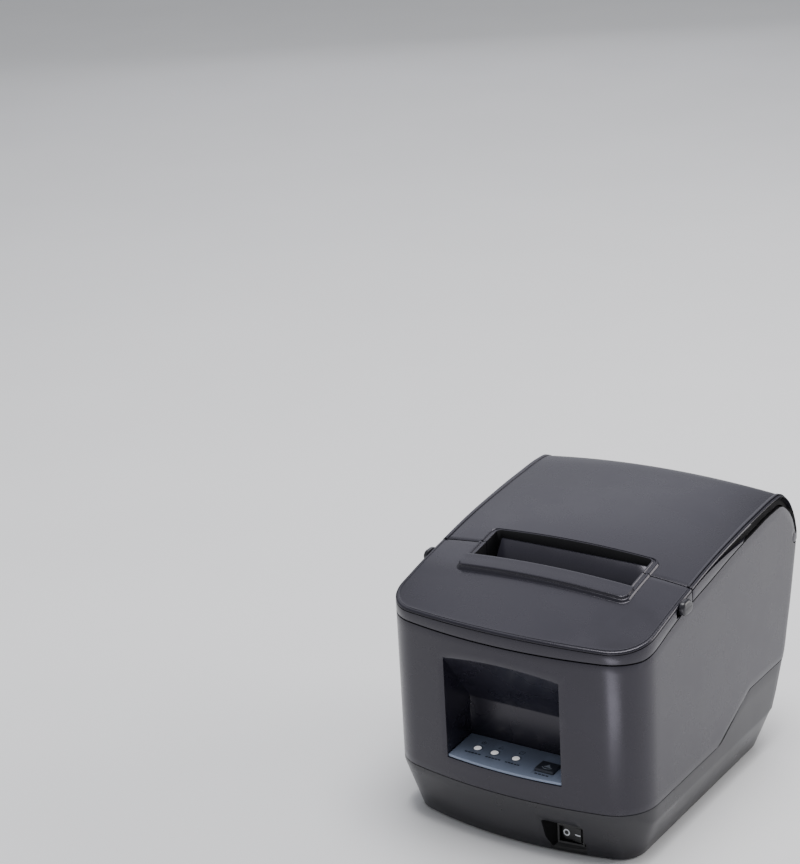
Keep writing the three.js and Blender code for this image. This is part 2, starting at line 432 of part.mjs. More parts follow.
// ---------------------------------------------------------------- release bar
const relBody = (x0, x1) => (s) => s;
add('release_shaft', rod('x', RELEASE, 2, -64.4, 64.4, 16), STEEL);
for (const s of [-1, 1]) {
  const side = s < 0 ? 'left' : 'right';
  const sx = (a, b) => (s > 0 ? [a, b] : [-b, -a]);
  const [h0, h1] = sx(51.2, 53.2);
  let hook = prism([[-47.2, 95], [-41.5, 94.6], [-24, 100], [-21.4, 103], [-21.4, 108.4], [-25, 110.2], [-27.4, 107.8], [-42, 101.6], [-47.2, 101.4]], 'x', h0, h1);
  hook = hook.subtract(rod('x', RELEASE, 2 + GAP, -60, 60, 16));
  add(`release_hook_${side}`, hook, STEEL);
  const [a0, a1] = sx(64.7, 67.4);
  const [k0, k1] = sx(66, 73.2), [k2, k3] = sx(72.9, 75.6);
  let knob = prism([[-48, 94.6], [-40, 94.6], [-34.6, 118], [-34.6, 122], [-40.8, 122], [-41.4, 118]], 'x', a0, a1);
  knob = knob.add(prism([[-40.4, 119.2], [-35, 119.2], [-35, 122.4], [-40.4, 122.4]], 'x', k0, k1));
  knob = knob.add(prism(roundRect(-41.2, -34.2, 118.4, 125, 3.2, 4), 'x', k2, k3));
  add(`release_knob_${side}`, knob, MATT);
}

// ---------------------------------------------------------------- paper bucket
const arc = (r, t0, t1, n) => Array.from({ length: n + 1 }, (_, i) => {
  const t = (t0 + (t1 - t0) * i / n) * Math.PI / 180;
  return [ROLL[0] + r * Math.cos(t), ROLL[1] + r * Math.sin(t)];
});
const bOut = [...arc(ROLL_R + 2, 180, 360, 14), [ROLL[0] + ROLL_R + 2, 112], [12, 112], [6, 94.5], [ROLL[0] - ROLL_R - 2, 94.5]];
const bIn = [...arc(ROLL_R, 180, 360, 14), [ROLL[0] + ROLL_R, 130], [ROLL[0] - ROLL_R, 130]];
let bucket = prism(bOut, 'x', -44, 44).subtract(prism(bIn, 'x', -41.6, 41.6));
for (const s of [-1, 1]) bucket = bucket.add(box(s > 0 ? 43 : -64, s > 0 ? 64 : -43, 20, 74, 108.4, 110.2).subtract(box(-41.7, 41.7, 0, 90, 100, 120)));
bucket = bucket.subtract(box(-5.3, 5.3, -9, -5.5, 80, 96));
add('paper_bucket', bucket, [0x202024, 0.55, 0]);
add('paper_sensor', box(-5, 5, -9.8, -6.6, 84, 93.5), [0x151515, 0.5, 0]);

// ---------------------------------------------------------------- electronics
let board = box(-49, 49, -52, 53.6, 10, 11.6);
for (const [x0, x1, y0, y1, h] of [[-20, 6, -30, -6, 2], [12, 30, -28, -14, 1.6], [-40, -28, 6, 26, 9], [30, 42, 4, 16, 11], [-8, 14, 10, 24, 3]]) board = board.add(box(x0, x1, y0, y1, 11, 11.6 + h));
add('main_board', board, [0x1e5a36, 0.5, 0]);
const SOCK_Y = 57;
const SOCKETS = {
  power_inlet: [-47, -33, 12, 26], usb_socket: [-29, -17, 12, 23], drawer_socket: [-13, 0, 12, 25], network_socket: [4, 20, 12, 25.5],
};
let plate = box(-50.6, 50.6, 54.9, 55.9, 6.4, 35.6).subtract(box(-52, 52, 50, 60, 5, 11.9).intersect(box(-50, 50, 50, 60, 5, 11.9)));
for (const [x0, x1, z0, z1] of Object.values(SOCKETS)) plate = plate.subtract(box(x0 - GAP, x1 + GAP, 50, 60, z0 - GAP - 0.5, z1 + GAP));
plate = plate.subtract(box(27.2 - GAP, 44.8 + GAP, 50, 60, 14 - GAP, 23.4 + GAP));
add('connector_plate', plate, [0x8d9196, 0.4, 0.9]);
const sock = (n) => { const [x0, x1, z0, z1] = SOCKETS[n]; return box(x0, x1, 42, SOCK_Y, z0, z1); };
let inlet = sock('power_inlet').subtract(rod('y', [-40, 19], 4.9, 48, 60, 20));
for (const [dx, dz] of [[0, 2.4], [-2.2, -1.4], [2.2, -1.4]]) inlet = inlet.add(rod('y', [-40 + dx, 19 + dz], 0.6, 46, 55.5, 8));
add('power_inlet', inlet, [0x17171a, 0.5, 0]);
add('usb_socket', sock('usb_socket').subtract(box(-27.3, -18.7, 46, 60, 13.4, 21.4)).add(box(-25.8, -20.2, 45, 55.5, 15.8, 19)), [0xc0c2c4, 0.35, 0.9]);
add('drawer_socket', sock('drawer_socket').subtract(box(-11.4, -1.6, 46, 60, 15, 22.2)), [0x1a1a1c, 0.5, 0]);
add('network_socket', sock('network_socket').subtract(box(6, 18, 45, 60, 14.4, 22.6)), [0xb4b7ba, 0.35, 0.9]);
const dee = (x0, x1, z0, z1, sl, y0, y1) => prism([[x0, z1], [x1, z1], [x1 - sl, z0], [x0 + sl, z0]], 'y', y0, y1);
let serial = dee(27.2, 44.8, 14, 23.4, 1.6, 50, 60.4).add(box(24, 48, 44, 54.5, 12, 25));
serial = serial.subtract(dee(28, 44, 14.8, 22.6, 1.6, 55, 62)).add(dee(29.4, 42.6, 16, 21.4, 1.1, 54, 59));
add('serial_socket', serial, [0xb9bcbf, 0.35, 0.9]);

const group = new THREE.Group();
group.add(root);
export default group;
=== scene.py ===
import bpy
import bmesh
import math
import numpy as np
from mathutils import Vector, Matrix


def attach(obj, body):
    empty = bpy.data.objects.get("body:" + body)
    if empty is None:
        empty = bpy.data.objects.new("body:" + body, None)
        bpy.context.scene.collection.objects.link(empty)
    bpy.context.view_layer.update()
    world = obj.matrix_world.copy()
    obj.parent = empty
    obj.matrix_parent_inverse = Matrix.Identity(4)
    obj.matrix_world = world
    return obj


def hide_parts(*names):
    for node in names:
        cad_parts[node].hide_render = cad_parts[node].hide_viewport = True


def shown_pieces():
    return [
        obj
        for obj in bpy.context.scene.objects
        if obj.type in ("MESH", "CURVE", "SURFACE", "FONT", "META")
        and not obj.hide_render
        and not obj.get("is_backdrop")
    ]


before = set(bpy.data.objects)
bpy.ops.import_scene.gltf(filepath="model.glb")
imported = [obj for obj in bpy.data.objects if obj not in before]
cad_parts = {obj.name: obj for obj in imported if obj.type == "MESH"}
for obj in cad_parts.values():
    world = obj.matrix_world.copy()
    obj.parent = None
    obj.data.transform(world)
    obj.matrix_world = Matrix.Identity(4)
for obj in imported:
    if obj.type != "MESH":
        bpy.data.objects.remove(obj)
for spare in ("Cube", "Light", "Camera"):
    if spare in bpy.data.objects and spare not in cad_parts:
        bpy.data.objects.remove(bpy.data.objects[spare])
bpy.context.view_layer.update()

# ------------------------------------------------------------------ frame of the sections
# sections are written in millimetres about the base's bottom edge; S() gives metres in the row frame
SHIFT = (0.0, -1.35, 1.0)


def S(p):
    return ((p[0] + SHIFT[0]) / 1000.0, (p[1] + SHIFT[1]) / 1000.0, (p[2] + SHIFT[2]) / 1000.0)


# ------------------------------------------------------------------ camera
cam_data = bpy.data.cameras.new("camera")
cam = bpy.data.objects.new("camera", cam_data)
bpy.context.scene.collection.objects.link(cam)
RIGHT = Vector((0.8315, 0.5530, -0.0533))
UP = Vector((-0.1421, 0.3045, 0.9418))
BACK = Vector((0.5370, -0.7755, 0.3318))
BACK.normalize()
RIGHT = (RIGHT - BACK * RIGHT.dot(BACK)).normalized()
UP = BACK.cross(RIGHT)
m = Matrix.Identity(4)
for i in range(3):
    m[i][0], m[i][1], m[i][2] = RIGHT[i], UP[i], BACK[i]
loc = S((508.4, -900.8, 558.5))
m[0][3], m[1][3], m[2][3] = loc
cam.matrix_world = m
cam_data.sensor_width = 36.0
cam_data.sensor_fit = "AUTO"
cam_data.lens = 89.69
cam_data.clip_start = 0.05
cam_data.clip_end = 20
bpy.context.scene.camera = cam

# ------------------------------------------------------------------ curves of the body
HALF_W, FRONT_Y, BOW, CORNER_R = 72.5, -95.0, 10.2, 22.5
CROWN = 4.4
SEAM_Y = -28.3
HINGE = (94.9, 111.2)


def pchip(X, Y):
    X, Y = np.array(X, float), np.array(Y, float)
    h = np.diff(X)
    d = np.diff(Y) / h
    mm = np.zeros(len(X))
    for i in range(1, len(X) - 1):
        if d[i - 1] * d[i] > 0:
            w1, w2 = 2 * h[i] + h[i - 1], h[i] + 2 * h[i - 1]
            mm[i] = (w1 + w2) / (w1 / d[i - 1] + w2 / d[i])
    mm[0], mm[-1] = d[0], d[-1]

    def f(x):
        x = float(min(max(x, X[0]), X[-1]))
        i = int(min(max(np.searchsorted(X, x) - 1, 0), len(h) - 1))
        t = (x - X[i]) / h[i]
        return float((2 * t**3 - 3 * t**2 + 1) * Y[i] + (t**3 - 2 * t**2 + t) * h[i] * mm[i]
                     + (-2 * t**3 + 3 * t**2) * Y[i + 1] + (t**3 - t**2) * h[i] * mm[i + 1])
    return f


TOP = [(-97, 112.8), (-95, 113.3), (-70, 119.6), (-60, 122.1), (-50, 124.6), (-40, 126.8), (-28, 129.2), (-14, 132), (3, 134.8),
       (26, 137.7), (38, 139), (50, 140), (62, 141), (70, 141.4)]
top_side = pchip([p[0] for p in TOP], [p[1] for p in TOP])
PARTP = [(-120, 110), (-78, 110), (-68, 112), (-52.5, 116.5), (-39.6, 119.7), (-25.4, 122.3), (-8.7, 125), (14.2, 129.1), (31.9, 131.7),
         (48, 133.6), (62, 135.2), (75, 135.6)]
part_side = pchip([p[0] for p in PARTP], [p[1] for p in PARTP])
PART_REAR = [(75, 135.6), (79, 134.6), (82.5, 132.4), (87.7, 128.3), (90.6, 125), (92.9, 121.5), (94.6, 117.2), (95.7, 113)]


def crown(x):
    return CROWN * (1 - (x / HALF_W) ** 2)


def top_z(x, y):
    return top_side(y) + crown(x)


def seam_z(y):
    # flat, a short ramp, flat; both bends rounded
    def ramp(y):
        return min(max((y - 3.2) / (37.0 - 3.2), 0.0), 1.0) * 16.4
    n, w = 7, 2.2
    return 29.2 + sum(ramp(y + w * (2 * k / (n - 1) - 1)) for k in range(n)) / n


REARP = [(108.4, 97.1), (97.7, 94.7), (76.1, 89.8), (62.8, 86.1), (48, 81.8), (45.2, 79.9)]
rear_y = pchip([p[0] for p in REARP[::-1]], [p[1] for p in REARP[::-1]])


def outline_right(inset, xs, nc, ysl=None):
    """Right half of the plan outline: front columns at xs, then the corner. Returns points and outward normals."""
    h = HALF_W - inset
    R = max(CORNER_R - inset, 1.0)
    s = 2 * BOW * (h - R) / (h * h)
    d = math.atan(s)
    yf = lambda x: FRONT_Y + inset + BOW * (x / h) ** 2
    xe = h - R + R * math.sin(d)
    yc = yf(xe) + R * math.cos(d)
    pts, nrm = [], []
    for x in xs:
        x = min(x, xe - 0.01)
        sl = 2 * BOW * x / (h * h)
        q = math.hypot(1, sl)
        pts.append((x, yf(x)))
        nrm.append((sl / q, -1 / q))
    for i in range(nc + 1):
        t = -math.pi / 2 + d + (math.pi / 2 - d) * i / nc
        pts.append((h - R + R * math.cos(t), yc + R * math.sin(t)))
        nrm.append((math.cos(t), math.sin(t)))
    return pts, nrm


# ------------------------------------------------------------------ mesh builder
class Build:
    def __init__(self):
        self.v, self.f = [], []

    def add(self, pts):
        i = len(self.v)
        self.v.extend([tuple(p) for p in pts])
        return list(range(i, i + len(pts)))

    def rows(self, rows, closed=False, skip=None):
        """Quads between rows of points; skip(i, j) leaves a cell out."""
        ids = [self.add(r) for r in rows]
        self.join(ids, closed, skip)
        return ids

    def join(self, ids, closed=False, skip=None):
        n = len(ids[0])
        for i in range(len(ids) - 1):
            for j in range(n if closed else n - 1):
                if skip and skip(i, j):
                    continue
                a, b = ids[i][j], ids[i][(j + 1) % n]
                c, d = ids[i + 1][(j + 1) % n], ids[i + 1][j]
                self.f.append((a, b, c, d))

    def cap(self, loop, flip=False):
        self.f.append(tuple(loop[::-1] if flip else loop))

    def mirror_x(self):
        n = len(self.v)
        self.v += [(-x, y, z) for x, y, z in self.v]
        self.f += [tuple(i + n for i in f[::-1]) for f in self.f]

    def object(self, name, merge=0.002, outward=None, sharp=38):
        me = bpy.data.meshes.new(name)
        me.from_pydata([S(p) for p in self.v], [], self.f)
        ob = bpy.data.objects.new(name, me)
        bpy.context.scene.collection.objects.link(ob)
        clean(ob, merge / 1000.0, outward, sharp)
        return ob


def clean(ob, merge=2e-6, outward=None, sharp=38):
    bm = bmesh.new()
    bm.from_mesh(ob.data)
    bmesh.ops.remove_doubles(bm, verts=bm.verts, dist=merge)
    bmesh.ops.dissolve_degenerate(bm, edges=bm.edges, dist=merge)
    loose = [v for v in bm.verts if not v.link_faces]
    if loose:
        bmesh.ops.delete(bm, geom=loose, context="VERTS")
    bmesh.ops.recalc_face_normals(bm, faces=bm.faces)
    if outward is not None:
        c = Vector(S(outward))
        tot = sum((f.calc_center_median() - c).dot(f.normal) * f.calc_area() for f in bm.faces)
        if tot < 0:
            bmesh.ops.reverse_faces(bm, faces=bm.faces)
    for f in bm.faces:
        f.smooth = True
    lim = math.radians(sharp)
    for e in bm.edges:
        e.smooth = not (len(e.link_faces) == 2 and e.calc_face_angle(0) > lim)
    bm.to_mesh(ob.data)
    bm.free()
    ob.data.update()


def resharp(ob, sharp=38):
    bm = bmesh.new()
    bm.from_mesh(ob.data)
    lim = math.radians(sharp)
    for f in bm.faces:
        f.smooth = True
    for e in bm.edges:
        e.smooth = not (len(e.link_faces) == 2 and e.calc_face_angle(0) > lim)
    bm.to_mesh(ob.data)
    bm.free()


def apply_mods(ob):
    dg = bpy.context.evaluated_depsgraph_get()
    me = bpy.data.meshes.new_from_object(ob.evaluated_get(dg), depsgraph=dg)
    ob.modifiers.clear()
    old = ob.data
    ob.data = me
    me.name = ob.name
    bpy.data.meshes.remove(old)
    return ob


def solidify(ob, t=2.4, bevel=0.25, seg=2, sharp=38, angle=50):
    mod = ob.modifiers.new("thick", "SOLIDIFY")
    mod.thickness = t / 1000
    mod.offset = -1
    mod.use_rim = True
    mod.use_even_offset = False
    apply_mods(ob)
    if bevel:
        soften(ob, bevel, seg, angle)
    resharp(ob, sharp)
    return ob


def soften(ob, width, seg=2, angle=40):
    mod = ob.modifiers.new("edge", "BEVEL")
    mod.width = width / 1000
    mod.segments = seg
    mod.limit_method = "ANGLE"
    mod.angle_limit = math.radians(angle)
    mod.harden_normals = False
    mod.use_clamp_overlap = True
    mod.miter_outer = "MITER_SHARP"
    apply_mods(ob)
    resharp(ob, 50)
    return ob


def cut(ob, *tools):
    for t in tools:
        mod = ob.modifiers.new("cut", "BOOLEAN")
        mod.operation = "DIFFERENCE"
        mod.solver = "MANIFOLD"
        mod.object = t
        apply_mods(ob)
        bpy.data.objects.remove(t)
    return ob


def prism_x(name, sec, x0, x1):
    b = Build()
    a = b.add([(x0, y, z) for y, z in sec])
    c = b.add([(x1, y, z) for y, z in sec])
    b.join([a, c], closed=True)
    b.cap(a)
    b.cap(c, True)
    return b.object(name)


def prism_z(name, sec, z0, z1):
    b = Build()
    a = b.add([(x, y, z0) for x, y in sec])
    c = b.add([(x, y, z1) for x, y in sec])
    b.join([a, c], closed=True)
    b.cap(a)
    b.cap(c, True)
    return b.object(name)


def circle(cx, cy, r, n=32):
    return [(cx + r * math.cos(2 * math.pi * (i + 0.5) / n), cy + r * math.sin(2 * math.pi * (i + 0.5) / n)) for i in range(n)]


def round_rect(x0, x1, y0, y1, r, n=5):
    out = []
    for cx, cy, t0 in ((x1 - r, y1 - r, 0), (x0 + r, y1 - r, 1), (x0 + r, y0 + r, 2), (x1 - r, y0 + r, 3)):
        for i in range(n + 1):
            t = (t0 + i / n) * math.pi / 2
            out.append((cx + r * math.cos(t), cy + r * math.sin(t)))
    return out

# ------------------------------------------------------------------ base shell
XS = [0, 5.5, 11, 16.5, 22, 27.5, 33, 37, 41, 45, 49, 52.5]
NC = 12
BASE_REAR = [(0, 61.4), (20.8, 63.3), (22, 67.1), (30, 72.2), (45.4, 79.85)]


def lerp_tab(tab, x):
    return float(np.interp(x, [p[0] for p in tab], [p[1] for p in tab]))


def base_surface(inset=0.0, top_drop=0.2, closed_top=False):
    b = Build()
    P0, N0 = outline_right(inset, XS, NC)
    P1, _ = outline_right(inset + 7.9, XS, NC)
    n = len(P0)
    yc0, yc1 = P0[-1][1], P1[-1][1]
    cols = []

    def levels(zc, zt):
        r6 = min(zc + 1.0, zt - 0.3)
        return [0, zc * 0.3, zc * 0.6, zc - 3.0, zc - 1.2, zc + 0.0, r6, r6 + (zt - r6) * 0.35, r6 + (zt - r6) * 0.7, zt]

    def f_at(z, zc):
        f = max(0.0, (zc - z) / zc)
        if abs(z - zc) < 1.3:      # rounded bend
            f = max(f, 0.0) + 0.012 * (1 - abs(z - zc) / 1.3)
        return f
    for i in range(n):
        (x0, y0), (x1, y1) = P0[i], P1[i]
        zc = 21 + 6 * min(1, max(0, (-72 - y0) / 10))
        zt = seam_z(y0) - top_drop
        col = []
        for z in levels(zc, zt):
            f = f_at(z, zc)
            col.append((x0 + (x1 - x0) * f, y0 + (y1 - y0) * f, z))
        cols.append(col)
    h = HALF_W - inset
    M = 30
    for j in range(1, M + 1):
        u = j / M
        col = []
        zt0 = None
        for k in range(10):
            # height of this row along the side, seam rises towards the rear
            ytop = yc0 + (79.85 - 1.2 - yc0) * u
            zt = seam_z(ytop) - top_drop
            if j == M:
                zt = 45.4
            lv = levels(21, zt)
            z = lv[k]
            f = f_at(z, 21)
            yrear = lerp_tab(BASE_REAR, z) - 1.2
            yfr = yc0 + (yc1 - yc0) * f
            col.append((h - 7.9 * f, yfr + (yrear - yfr) * u, z))
        cols.append(col)
    for a in (30, 60, 90):
        t = math.radians(a)
        cols.append([(p[0] - 1.2 * (1 - math.cos(t)), p[1] + 1.2 * math.sin(t), p[2]) for p in cols[n + M - 1]])
    last = cols[-1]
    for s in (0.9, 0.75, 0.5, 0.25, 0.0):
        cols.append([(p[0] * s, p[1], p[2]) for p in last])
    ids = b.rows(cols)
    b.cap([c[0] for c in ids])
    if closed_top:
        b.cap([c[-1] for c in ids])
    b.mirror_x()
    return b


base = base_surface().object("base_shell", outward=(0, -10, 15), sharp=30)
solidify(base, 2.4, 0)
cutters = []
c = prism_x("c", [(50, 6), (100, 6), (100, 36), (50, 36)], -51, 51)
SW = Matrix.Translation(Vector((32.8, -84.2, 10.2))) @ Matrix.Rotation(math.radians(7.1), 4, "Z")


def sw(p):
    q = SW @ Vector(p)
    return (q.x, q.y, q.z)


def box_pts(b, x0, x1, y0, y1, z0, z1, tf=lambda p: p):
    a = b.add([tf(p) for p in ((x0, y0, z0), (x1, y0, z0), (x1, y1, z0), (x0, y1, z0))])
    c = b.add([tf(p) for p in ((x0, y0, z1), (x1, y0, z1), (x1, y1, z1), (x0, y1, z1))])
    b.join([a, c], closed=True)
    b.cap(a)
    b.cap(c, True)


def pocket(name, grow=0.0):
    b = Build()
    r0 = round_rect(-7.5 - grow, 7.5 + grow, -5.7 - grow, 5.7 + grow, 0.8, 3)
    unit = round_rect(-1, 1, -1, 1, 0.14, 3)
    r1 = []
    for a_, c_ in unit:
        sa, sc = (a_ + 1) / 2, (c_ + 1) / 2
        lo_, hi_ = (-31 + sa * 58.5, -29), (-19.5 + sa * 27.7, 11.4)
        r1.append((lo_[0] + (hi_[0] - lo_[0]) * sc, lo_[1] + (hi_[1] - lo_[1]) * sc))
    rings = []
    for t, v in ((0, 3.2), (0, 0), (1, -11), (1.1, -12.2)):
        t_ = min(t, 1.1)
        rings.append([sw((r0[i][0] + (r1[i][0] - r0[i][0]) * t_, v, r0[i][1] + (r1[i][1] - r0[i][1]) * t_)) for i in range(len(r0))])
    ids = b.rows(rings, closed=True)
    b.cap(ids[0])
    b.cap(ids[-1], True)
    return b.object(name)


cut(base, c, pocket("c2"))
FEET = [(-50, -62), (50, -62), (-46, 38), (46, 38)]
SCREWS = [(-30, -59), (30, -59), (-57, 47), (57, 47)]
for i, (x, y) in enumerate(FEET):
    cut(base, prism_z("c", circle(x, y, 6.3), -2, 2))
for i, (x, y) in enumerate(SCREWS):
    cut(base, prism_z("c", circle(x, y, 3.1, 24), -2, 3))
soften(base, 0.3, 2, 48)

walls = base_surface(0.35, 0.6, True).object("switch_pocket_walls", outward=(0, -10, 15))
bb = Build()
box_pts(bb, -17, 13.8, -14, 1.8, -9.9, 11.8, sw)
blk = bb.object("c3")
mod = walls.modifiers.new("i", "BOOLEAN")
mod.operation, mod.solver, mod.object = "INTERSECT", "MANIFOLD", blk
apply_mods(walls)
bpy.data.objects.remove(blk)
cut(walls, pocket("c4"))
resharp(walls, 30)

b = Build()


def pr(b, sec, x0, x1):
    a = b.add([(x0, y, z) for y, z in sec])
    c = b.add([(x1, y, z) for y, z in sec])
    b.join([a, c], closed=True)
    b.cap(a)
    b.cap(c, True)


yr = lambda z: lerp_tab(BASE_REAR, z) - 0.25
side_sec = [(56.6, 4), (yr(4), 4), (yr(20.7), 20.7), (yr(22), 22), (yr(30), 30), (yr(38), 38), (56.6, 38)]
pr(b, side_sec, 51, 53)
pr(b, side_sec, -53, -51)
pr(b, [(56.6, 4), (yr(4), 4), (yr(6), 6), (56.6, 6)], -51, 51)
pr(b, [(56.6, 36), (yr(36), 36), (yr(38), 38), (56.6, 38)], -51, 51)
bay = b.object("bay_walls")
soften(bay, 0.2, 2, 60)

# posts standing on the floor of the tray
b = Build()


def rod_z(b, x, y, r, z0, z1, n=24):
    a = b.add([(px, py, z0) for px, py in circle(x, y, r, n)])
    c = b.add([(px, py, z1) for px, py in circle(x, y, r, n)])
    b.join([a, c], closed=True)
    b.cap(a)
    b.cap(c, True)


for x, y in [(-44, -46), (44, -46), (-44, 49), (44, 49)]:
    rod_z(b, x, y, 2.5, 2, 9.45)
posts = b.object("tray_posts")

# ------------------------------------------------------------------ housing shell
WIN_Z = 41.0


def arch(x):
    return 100.4 - 3.4 * (min(abs(x), 33) / 33) ** 2


def housing_surface():
    b = Build()
    P0, _ = outline_right(0, XS, NC)
    n = len(P0)
    cols, lv_last = [], None
    f1 = [0, 0.35, 0.7]
    f2 = [0, 0.04, 0.1, 0.2, 0.3, 0.4, 0.5, 0.6, 0.7, 0.8, 0.9, 0.96]
    f3 = [0, 0.3, 0.65, 1.0]
    for i, (x, y) in enumerate(P0):
        z0, z1 = seam_z(y) + 0.2, part_side(y) - 0.4
        za, zb = WIN_Z, arch(x)
        zs = [z0 + (za - z0) * t for t in f1] + [za + (zb - za) * t for t in f2] + [zb + (z1 - zb) * t for t in f3]
        cols.append([(x, y, z) for z in zs])
    nr = len(cols[0])
    i_lo, i_hi = 3, 3 + 12
    zs = [p[2] for p in cols[-1]]
    V = [(z - zs[0]) / (zs[-1] - zs[0]) for z in zs]
    yc = P0[-1][1]
    F = 1.0
    PR = np.array([(75, part_side(75))] + PART_REAR[1:] + [(97.2, 112.95)], float)
    PR[:, 1] -= 0.4
    L = np.concatenate([[0], np.cumsum(np.hypot(*np.diff(PR, axis=0).T))])

    def top_c(u):
        if u <= 0.8:
            y = yc + (75 - yc) * u / 0.8
            return np.array((y, part_side(y) - 0.4))
        s = (u - 0.8) / 0.2 * L[-1]
        q = np.array((np.interp(s, L, PR[:, 0]), np.interp(s, L, PR[:, 1])))
        return q

    def bot_c(u):
        y = yc + (79.85 - F - yc) * u
        return np.array((y, seam_z(y) + 0.2))

    def left(v):
        return np.array((yc, zs[0] + (zs[-1] - zs[0]) * v))

    z_lo, z_hi = 45.8, 112.7

    def right(v):
        z = z_lo + (z_hi - z_lo) * v
        y = rear_y(z) if z < 107 else rear_y(107) + (97.2 - rear_y(107)) * (z - 107) / (z_hi - 107)
        return np.array((y - F, z))
    M = 40
    A, B, C, D = left(0), right(0), right(1), left(1)
    for j in range(1, M + 1):
        u = j / M
        col = []
        for v in V:
            t, bt = top_c(u), bot_c(u)
            if j == M:
                q = right(v)
            else:
                tt = top_c(u) + (C - top_c(1)) * u ** 6
                q = (1 - v) * bt + v * tt + (1 - u) * left(v) + u * right(v) - ((1 - u) * (1 - v) * A + u * (1 - v) * B + u * v * C + (1 - u) * v * D)
            col.append((HALF_W, float(q[0]), float(q[1])))
        cols.append(col)
    for a in (22.5, 45, 67.5, 90):
        t = math.radians(a)
        cols.append([(HALF_W - F * (1 - math.cos(t)), p[1] + F * math.sin(t), p[2]) for p in cols[n + M - 1]])
    last = cols[-1]
    for x in (67, 60, 50, 40, 30, 20, 10, 0):
        cols.append([(x, p[1], p[2]) for p in last])
    ncw = XS.index(33)
    ids = b.rows(cols, skip=lambda i, j: i < ncw and i_lo <= j < i_hi)
    # recess: floor, side, ceiling and back wall
    Yb = -70.0
    zb0, zb1 = 42.7, 66.0
    steps = [0.0, 0.03, 0.35, 0.7, 1.0]
    wcols = cols[:ncw + 1]
    grid = []
    za_back = lambda x: zb1
    fr = [wcols[i][i_lo:i_hi + 1] for i in range(ncw + 1)]
    nz = len(fr[0])
    T = [(fr[ncw][k][2] - WIN_Z) / (97.0 - WIN_Z) for k in range(nz)]

    def deep(i, k, s):
        x, y, z = fr[i][k]
        zb = zb0 + (zb1 - zb0) * T[k]
        zz = z + (zb - z) * s
        return (x, y + (Yb - y) * s, zz)
    # floor and ceiling strips
    for k in (0, nz - 1):
        b.rows([[deep(i, k, s) for i in range(ncw + 1)] for s in steps])
    b.rows([[deep(ncw, k, s) for k in range(nz)] for s in steps])
    b.rows([[deep(i, k, 1.0) for k in range(nz)] for i in range(ncw + 1)])
    b.mirror_x()
    return b


KNOB_SLOT = [(-44.9, 119.6), (-33.8, 119.6), (-33.4, 121), (-33.8, 124.2), (-44.9, 124.2), (-45.2, 121.6)]
house = housing_surface().object("housing_shell", merge=0.01, outward=(0, 0, 75), sharp=40)
solidify(house, 2.4, 0)
cut(house, prism_x("c", KNOB_SLOT, 69.0, 80), prism_x("c1", KNOB_SLOT, -80, -69.0))
cut(house, prism_x("c", [(HINGE[0] + 3.5 * math.cos(2 * math.pi * i / 40), HINGE[1] + 3.5 * math.sin(2 * math.pi * i / 40)) for i in range(40)], -80, 80))
cut(house, prism_x("c", [(88, 108.4), (101, 108.4), (101, 150), (88, 150)], -69.8, 69.8))
cut(house, prism_z("c", [(-29, -90.3), (29.5, -90.3), (29.5, -73.5), (-29, -73.5)], 36, 45))
soften(house, 0.35, 2, 48)

b = Build()
for s in (-1, 1):
    for x0, x1 in ((40.2, 43.6), (54.4, 57.8)):
        sec = [(HINGE[0] + 2.35 * math.cos(t), HINGE[1] + 2.35 * math.sin(t)) for t in [math.radians(a) for a in range(-20, 201, 20)]]
        sec += [(92.55, 102.2), (95.2, 100.8), (96.4, 106.2), (96.9, 108.6)]
        pr(b, sec, *((x0, x1) if s > 0 else (-x1, -x0)))
lugs = b.object("housing_hinge_lugs")
soften(lugs, 0.25, 2, 60)

# ------------------------------------------------------------------ front cover and paper lid
FR = 1.1
LF = 0.75
GAP = 0.3


def rows_below(loop_r, loop_0, ztop, zlow, groove, arcs=5):
    """Fillet, groove and band below a top edge: lists of points for each row."""
    out = []
    n = len(loop_r)
    for k in range(1, arcs + 1):
        a = math.pi / 2 * k / arcs
        out.append([(loop_r[i][0] + (loop_0[i][0] - loop_r[i][0]) * math.sin(a),
                     loop_r[i][1] + (loop_0[i][1] - loop_r[i][1]) * math.sin(a), ztop[i] - FR * (1 - math.cos(a))) for i in range(n)])
    d0, d1, g = groove
    for d, gg in ((d0, 0), (d0 + 0.05, g), (d1 - 0.05, g), (d1, 0)):
        out.append([(loop_0[i][0] + (loop_r[i][0] - loop_0[i][0]) * gg / FR,
                     loop_0[i][1] + (loop_r[i][1] - loop_0[i][1]) * gg / FR, ztop[i] - d) for i in range(n)])
    for t in (0.5, 1.0):
        out.append([(loop_0[i][0], loop_0[i][1], (ztop[i] - d1) + (zlow[i] - ztop[i] + d1) * t) for i in range(n)])
    return out


def front_cover_surface():
    b = Build()
    Pr, _ = outline_right(FR, XS, NC)
    P0, _ = outline_right(0, XS, NC)
    n = len(Pr)
    yend = SEAM_Y - GAP
    M = 22
    cols = []
    for x, y in Pr:
        cols.append([(x, y + (yend - y) * j / M, top_z(x, y + (yend - y) * j / M)) for j in range(M + 1)])
    b.rows(cols)
    loop_r = [c[0][:2] for c in cols] + [p[:2] for p in cols[-1][1:]]
    loop_0 = list(P0) + [(HALF_W, p[1]) for p in cols[-1][1:]]
    # keep the corner end and the side in step
    yc_r, yc_0 = Pr[-1][1], P0[-1][1]
    loop_0 = list(P0) + [(HALF_W, yc_0 + (yend - yc_0) * j / M) for j in range(1, M + 1)]
    ztop = [top_z(*p) for p in loop_r]
    zlow = [part_side(p[1]) + 0.4 for p in loop_0]
    rows = [[(p[0], p[1], z) for p, z in zip(loop_r, ztop)]] + rows_below(loop_r, loop_0, ztop, zlow, (FR + 0.05, FR + 0.7, 0.5))
    b.rows(rows)
    b.mirror_x()
    return b


